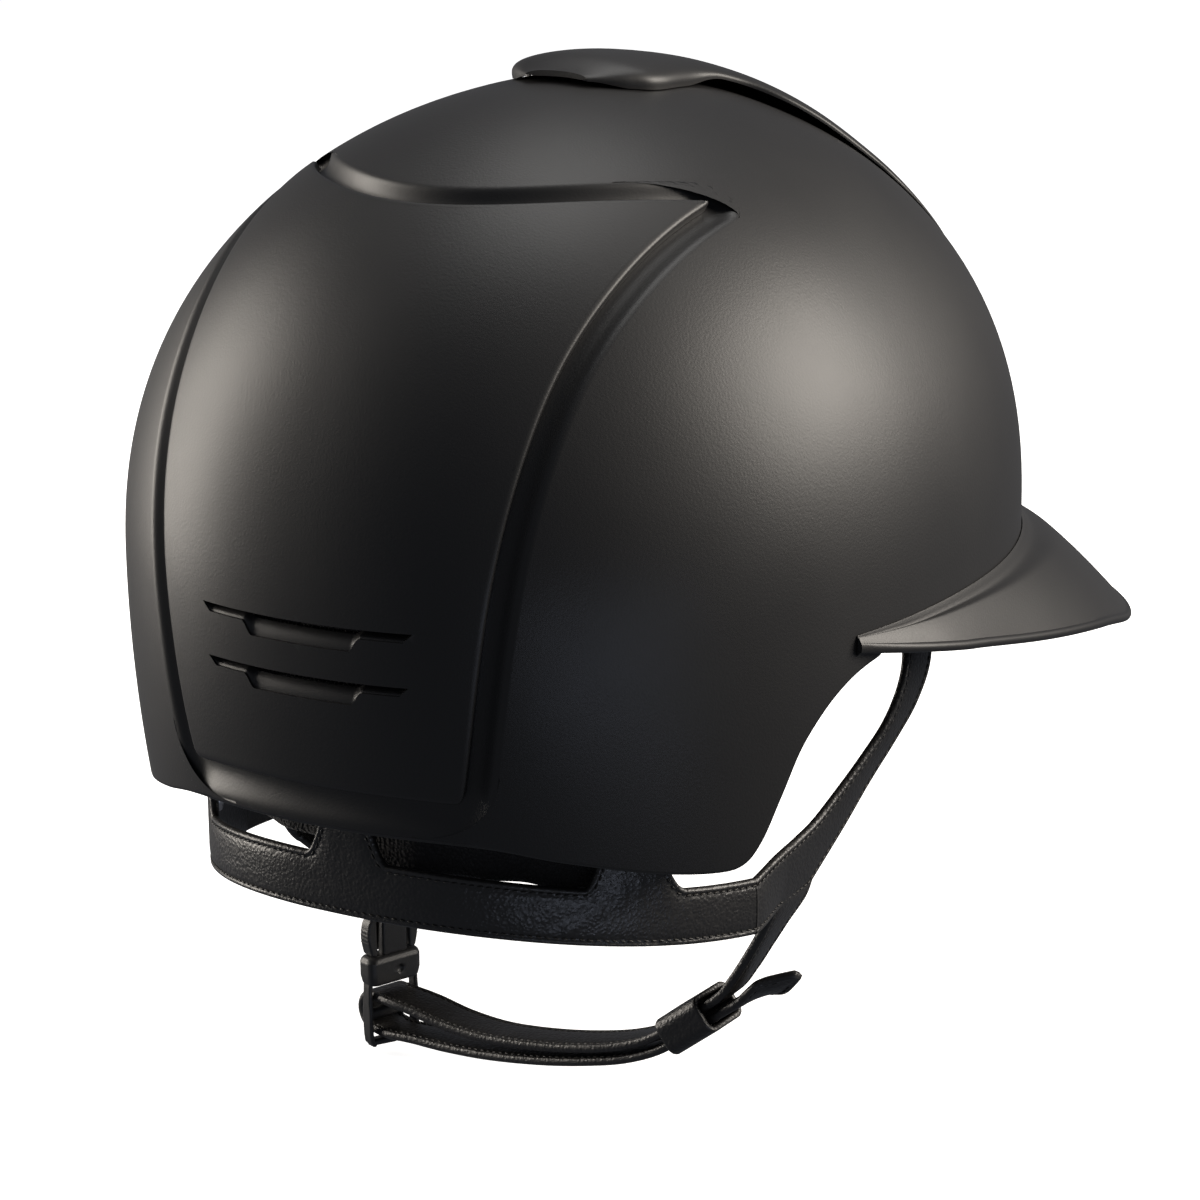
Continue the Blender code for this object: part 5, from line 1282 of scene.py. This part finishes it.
HEM_SPAN, HEM_INSET, HEM_RISE, HEM_HALF = (136, 232), 0.0040, 0.0040, 0.0006
HEM_X = (-0.0620, -0.0580, -0.0500, -0.0410, -0.0300, -0.0200, -0.0080, 0.0, 0.0100, 0.0350, 0.0620)
HEM_Z = (0.0010, -0.0068, -0.0074, -0.0049, -0.0038, -0.0039, -0.0052, -0.0040, 0.0002, 0.0010, 0.0010)
HEM_TURN = ((1.0, 0.0007, 0.0005), (1.0, 0.0, 0.0008), (1.0, -0.0007, 0.0005))

angle = np.radians(np.linspace(*HEM_SPAN, 300))
foot = rim_point(angle, LINER_SHORTER)
level_facing = outward(foot) * (1, 1, 0)
level_facing /= np.linalg.norm(level_facing, axis=1, keepdims=True)
anchor = foot - level_facing * (LINER_IN - HEM_INSET)
hem = softened(np.interp(anchor[:, 0], HEM_X, HEM_Z)[:, None], 4, closed=False)[:, 0]
top = np.maximum(anchor[:, 2], 0.0) + HEM_RISE
down = [(t, HEM_HALF + 0.0004 * math.exp(-((1 - t) / 0.16) ** 2), 0.0) for t in np.linspace(0, 1, 22)]
rings = []
for share, aside, drop in (*down, *HEM_TURN, *((t, -half, drop) for t, half, drop in down[::-1])):
    swell = 0.0006 * np.sin(angle * 31) * share
    line = anchor + level_facing * (aside + swell)[:, None]
    line[:, 2] = top * (1 - share) + (hem - drop) * share
    rings.append(line)
rings = np.array(rings)
total, wide = rings.shape[:2]
last = wide - 1
faces = [tuple(f) for f in grid_faces(total, wide, wrap_rows=True)]
for k in range(total // 2 - 1):
    a, b, c, d = (i * wide for i in (k, k + 1, total - 2 - k, total - 1 - k))
    faces += [(a, b, c, d), (a + last, d + last, c + last, b + last)]
a, b, c = ((total // 2 + i) * wide for i in (-1, 0, 1))
faces += [(a, b, c), (a + last, c + last, b + last)]
piece("lining_hem", rings, faces, knit, "helmet", "lining")

# ---------------------------------------------------------------- comfort pads
# Removable pads of soft foam in knitted cloth, piped round their edge and quilted in cells. They
# hold on hook patches stuck to the liner.

PAD_OUT, PAD_IN, DOME_BOTTOM_Z = 0.0256, 0.0320, -0.020
BROW_PAD, NAPE_PAD = ((-52, 52), (0.0, 0.28)), ((142, 218), (-0.72, -0.20))
SIDE_PADS = {"left": ((78, 112), (0.04, 0.40)), "right": ((-112, -78), (0.04, 0.40))}
CROWN_PAD_HALF, CROWN_PATCH_HALF = (0.030, 0.070), (0.012, 0.030)
HOOK_PLACES = (("brow", 0, 0.10), ("nape", 180, -0.45), ("left", 95, 0.2), ("right", -95, 0.2))
HOOK_HALF_ANGLE, HOOK_HALF_LEVEL = 7, 0.05
CORNER_MIX = 0.26


def level(share):
    """Heights from the bottom (-1) over the widest line (0) to the crown (1)."""
    above = DOME_WIDEST_Z + DOME_RISE * np.sin(np.clip(share, 0, 1) * math.pi / 2)
    below = DOME_WIDEST_Z + (DOME_WIDEST_Z - DOME_BOTTOM_Z) * np.clip(share, -1, 0)
    return np.where(share > 0, above, below)


def rounded_plan(rows, columns):
    """A square grid with round corners: shares across and up, and closeness to the middle from the edge."""
    u, v = np.meshgrid(np.linspace(-1, 1, columns), np.linspace(-1, 1, rows))
    near = 1 - np.maximum(np.abs(u), np.abs(v))
    disc_u, disc_v = u * np.sqrt(1 - v**2 / 2), v * np.sqrt(1 - u**2 / 2)
    plans = (flat * (1 - CORNER_MIX) + disc * CORNER_MIX * 1.25 for flat, disc in ((u, disc_u), (v, disc_v)))
    return *(np.clip(plan, -1, 1) for plan in plans), near


def cushion(name, at, node, cells):
    """A quilted pad; at(u, v) gives points on the dome for shares from -1 to 1."""
    rows, columns = 60, 110
    u, v, near = rounded_plan(rows, columns)
    surface = at(u, v)
    normal = outward(surface)
    edge = np.clip(near / 0.16, 0, 1)
    crown = np.sqrt(np.clip(1 - (1 - edge) ** 2, 0, 1))
    quilt = 1.0
    for value, count in ((u, cells[0]), (v, cells[1])):
        if count > 1:
            seam = np.sin((value * count + count % 2) * math.pi / 2)
            quilt = quilt * (1 - 0.42 * np.exp(-(seam / 0.16) ** 2) * edge)
    piping = 0.25 * np.exp(-((near - 0.03) / 0.02) ** 2)
    thick = (PAD_IN - PAD_OUT) * np.clip(0.22 + piping + 0.70 * crown * quilt * (near > 0.04), 0.05, 1.0)
    wrinkle = 0.00022 * np.sin(u * 41 + 3 * np.sin(v * 9)) * np.exp(-((near - 0.1) / 0.08) ** 2)
    inner = surface - normal * (PAD_OUT + thick + wrinkle)[..., None]
    outer = surface - normal * (PAD_OUT + 0.0003 * (1 - edge))[..., None]
    made = piece(name, np.vstack([outer.reshape(-1, 3), inner.reshape(-1, 3)]), stitched_faces(rows, columns),
                 knit, "helmet", "lining", [node])
    return made


def on_wall(angles, shares):
    def at(u, v):
        angle = np.radians(sum(angles) / 2 + u * (angles[1] - angles[0]) / 2)
        return dome(angle, level(sum(shares) / 2 + v * (shares[1] - shares[0]) / 2))
    return at


def on_crown(half):
    def at(u, v):
        return cast(np.stack([u * half[0], v * half[1], DOME_WIDEST_Z + 0 * u], -1), np.array([0.0, 0.0, 1.0]))
    return at


cushion("brow_cushion", on_wall(*BROW_PAD), "brow_pad", (6, 1))
cushion("nape_cushion", on_wall(*NAPE_PAD), "nape_pad", (4, 1))
for side_name, place_on in SIDE_PADS.items():
    cushion(f"side_cushion_{side_name}", on_wall(*place_on), f"side_pad_{side_name}", (2, 2))
cushion("crown_cushion", on_crown(CROWN_PAD_HALF), "crown_pad", (2, 4))

# ---------------------------------------------------------------- hook patches
# Nylon hook tape stuck to the liner: a thin woven backing with rows of short hooks.

hook_nylon = satin_plastic("hook_tape", (0.020, 0.020, 0.021), (0.05, 0.05, 0.05), 0.55, 3000.0, 0.00006)


def hook_patch(name, at, node):
    rows, columns = 15, 27
    u, v = np.meshgrid(np.linspace(-1, 1, columns), np.linspace(-1, 1, rows))
    surface = at(u, v)
    normal = outward(surface)
    back = (surface - normal * (LINER_IN + 0.0005)).reshape(-1, 3)
    front = (surface - normal * (LINER_IN + 0.0009)).reshape(-1, 3)
    parts = [(np.vstack([back, front]), stitched_faces(rows, columns))]
    u, v = np.meshgrid(np.linspace(-0.94, 0.94, 22), np.linspace(-0.9, 0.9, 12))
    surface = at(u, v).reshape(-1, 3)
    normal = outward(surface)
    side = np.cross(normal, (0.0, 0.0, 1.0) if abs(normal[0, 2]) < 0.8 else (0.0, 1.0, 0.0))
    side /= np.linalg.norm(side, axis=1, keepdims=True)
    other = np.cross(normal, side)
    tracks = []
    for reach, lean, girth in ((0.0008, 0, 0.00016), (0.00115, 0.00004, 0.00014), (0.00130, 0.00018, 0.00013)):
        for a in np.linspace(0, 2 * math.pi, 5, endpoint=False):
            leaning = side * (lean + girth * math.cos(a)) + other * girth * math.sin(a)
            tracks.append(surface - normal * (LINER_IN + reach) + leaning)
    points = np.stack(tracks, 1)
    hooks = [tuple(i + 15 * k for i in f) for k in range(len(points)) for f in capped_faces(3, 5)]
    parts.append((points.reshape(-1, 3), hooks))
    piece(name, *joined(parts), hook_nylon, "helmet", "hook_tape", [node])


for place_name, angle, share in HOOK_PLACES:
    spans = (angle - HOOK_HALF_ANGLE, angle + HOOK_HALF_ANGLE), (share - HOOK_HALF_LEVEL, share + HOOK_HALF_LEVEL)
    hook_patch(f"hook_tape_{place_name}", on_wall(*spans), f"hook_patch_{place_name}")
hook_patch("hook_tape_crown", on_crown(CROWN_PATCH_HALF), "hook_patch_crown")

# ---------------------------------------------------------------- vent meshes
# Woven nylon mesh behind the rear vents and the strip's intake keeps insects and grit out.

MESH_WINDOWS = (("rear", 0.0320, 0.0427, 0.0660, 1, 0.0044), ("front", 0.0255, 0.0810, 0.0974, -1, 0.0014))
WIRE_PITCH, WIRE, WIRE_WAVE = 0.0012, 0.00022, 0.00020
for mesh_name, half, low, high, side, deep in MESH_WINDOWS:
    parts = []
    for lengthways in (True, False):
        span = (low, high) if lengthways else (-half, half)
        first, last = (-half, half) if lengthways else (low, high)
        places = np.arange(first + WIRE_PITCH / 2, last, WIRE_PITCH)
        steps = np.arange(span[0], span[1] + WIRE_PITCH / 4, WIRE_PITCH / 2)
        for number, spot in enumerate(places):
            across, up = (spot + 0 * steps, steps) if lengthways else (steps, spot + 0 * steps)
            surface = cast(np.stack([across, 0 * across, up], -1), np.array([0.0, side, 0.0]))
            normal = outward(surface)
            wave = WIRE_WAVE * np.cos(np.arange(len(steps)) * math.pi + number * math.pi) * (1 if lengthways else -1)
            line = surface - normal * (deep + wave)[:, None]
            ahead = np.gradient(line, axis=0)
            ahead /= np.linalg.norm(ahead, axis=1, keepdims=True)
            square = np.cross(ahead, normal)
            tube = np.stack([line + WIRE * (math.cos(a) * square + math.sin(a) * normal)
                             for a in np.linspace(0, 2 * math.pi, 4, endpoint=False)], 1)
            parts.append((tube.reshape(-1, 3), capped_faces(len(steps), 4)))
    piece(f"{mesh_name}_vent_weave", *joined(parts), hook_nylon, "helmet", "nylon", [f"{mesh_name}_vent_mesh"])

# ---------------------------------------------------------------- screws and rivets
# Steel: two screws hold the peak from inside the shell, domed rivets hold the harness.

steel, tree, shader, place = new_material("plated_steel")
brushed = texture(tree, "ShaderNodeTexNoise", place, Scale=900.0, Detail=4.0)
plating = mixed(tree, brushed.outputs["Fac"], (0.30, 0.30, 0.31), (0.52, 0.52, 0.53))
tree.links.new(plating, shader.inputs["Base Color"])
tree.links.new(spread(tree, brushed.outputs["Fac"], 0.22, 0.38), shader.inputs["Roughness"])
shader.inputs["Metallic"].default_value = 1.0
bumped(tree, shader, brushed.outputs["Fac"], 0.00002)


def turned(at, axis, steps, sides=36, socket=0):
    """Points, faces of a round part; steps are (distance along the axis, radius)."""
    axis = np.asarray(axis, float) / np.linalg.norm(axis)
    side = np.cross(axis, (0.0, 0.0, 1.0) if abs(axis[2]) < 0.8 else (0.0, 1.0, 0.0))
    side /= np.linalg.norm(side)
    other = np.cross(axis, side)
    rings = []
    for number, (reach, radius) in enumerate(steps):
        ring = []
        for a in np.linspace(0, 2 * math.pi, sides, endpoint=False):
            six = math.cos(math.pi / 6) / math.cos(a % (math.pi / 3) - math.pi / 6)
            r = radius if number >= socket else radius * six
            ring.append(at + axis * reach + r * (math.cos(a) * side + math.sin(a) * other))
        rings.append(ring)
    return np.array(rings).reshape(-1, 3), capped_faces(len(steps), sides)


SCREW_ANGLES, SCREW_Z = (-38, 38), 0.0498
for angle in SCREW_ANGLES:
    side_name = "left" if angle > 0 else "right"
    start = dome(math.radians(angle), SCREW_Z)
    axis = outward(start[None])[0] * (1, 1, 0)
    axis /= np.linalg.norm(axis)
    steps = [(-0.0006, 0.0011), (-0.0012, 0.0012), (-0.00155, 0.00125), (-0.0016, 0.0015), (-0.00145, 0.0021),
             (-0.0011, 0.0025), (-0.0007, 0.0026), (-0.0003, 0.0026), (-0.0003, 0.0012)]
    for turn in np.arange(0, 0.0050, 0.0005):
        steps += [(turn, 0.00092), (turn + 0.00025, 0.0012)]
    steps += [(0.0054, 0.0007)]
    piece(f"screw_{side_name}", *turned(start - axis * (SHELL_WALL + GAP), axis, steps, 36, 3), steel, "helmet",
          "steel", [f"peak_screw_{side_name}"], sharp=35)

FRONT_RIVET, SIDE_RIVET, NAPE_RIVET = (-0.0345, 0.0560, 0.0045), (0.063, -0.0052, 0.0032), (0.0040, 0.0042)


def rivet(name, at, axis, radius, node):
    axis = np.asarray(axis, float) / np.linalg.norm(axis)
    steps = [(0, radius * 0.97), (0.0002, radius)]
    for t in np.linspace(0.15, 1.5, 12):
        steps.append((0.0002 + 0.0012 * math.sin(t), radius * (0.04 + 0.96 * math.cos(t) ** 0.7)))
    place = np.asarray(at) + axis * (LEATHER / 2 + GAP)
    piece(name, *turned(place, axis, steps), steel, "helmet", "steel", [node], sharp=60)


y, z, radius = FRONT_RIVET
lean = float(yoke_x(y, z + 0.001) - yoke_x(y, z - 0.001)) / 0.002
side_x, side_z, side_radius = SIDE_RIVET
step = 0.001
run = np.array([2 * step, band_y(side_x + step) - band_y(side_x - step)])
for side_name, side in (("left", 1), ("right", -1)):
    brow = (side * float(yoke_x(y, z)), y, z)
    rivet(f"brow_rivet_{side_name}", brow, (-side, 0, lean), radius, f"front_rivet_{side_name}")
    tab, square = (side * side_x, band_y(side_x), side_z), (side * run[1], -run[0], 0)
    rivet(f"tab_rivet_{side_name}", tab, square, side_radius, f"side_rivet_{side_name}")
rivet("back_rivet", (0, BAND_REAR, NAPE_RIVET[0]), (0, -1, 0), NAPE_RIVET[1], "nape_rivet")
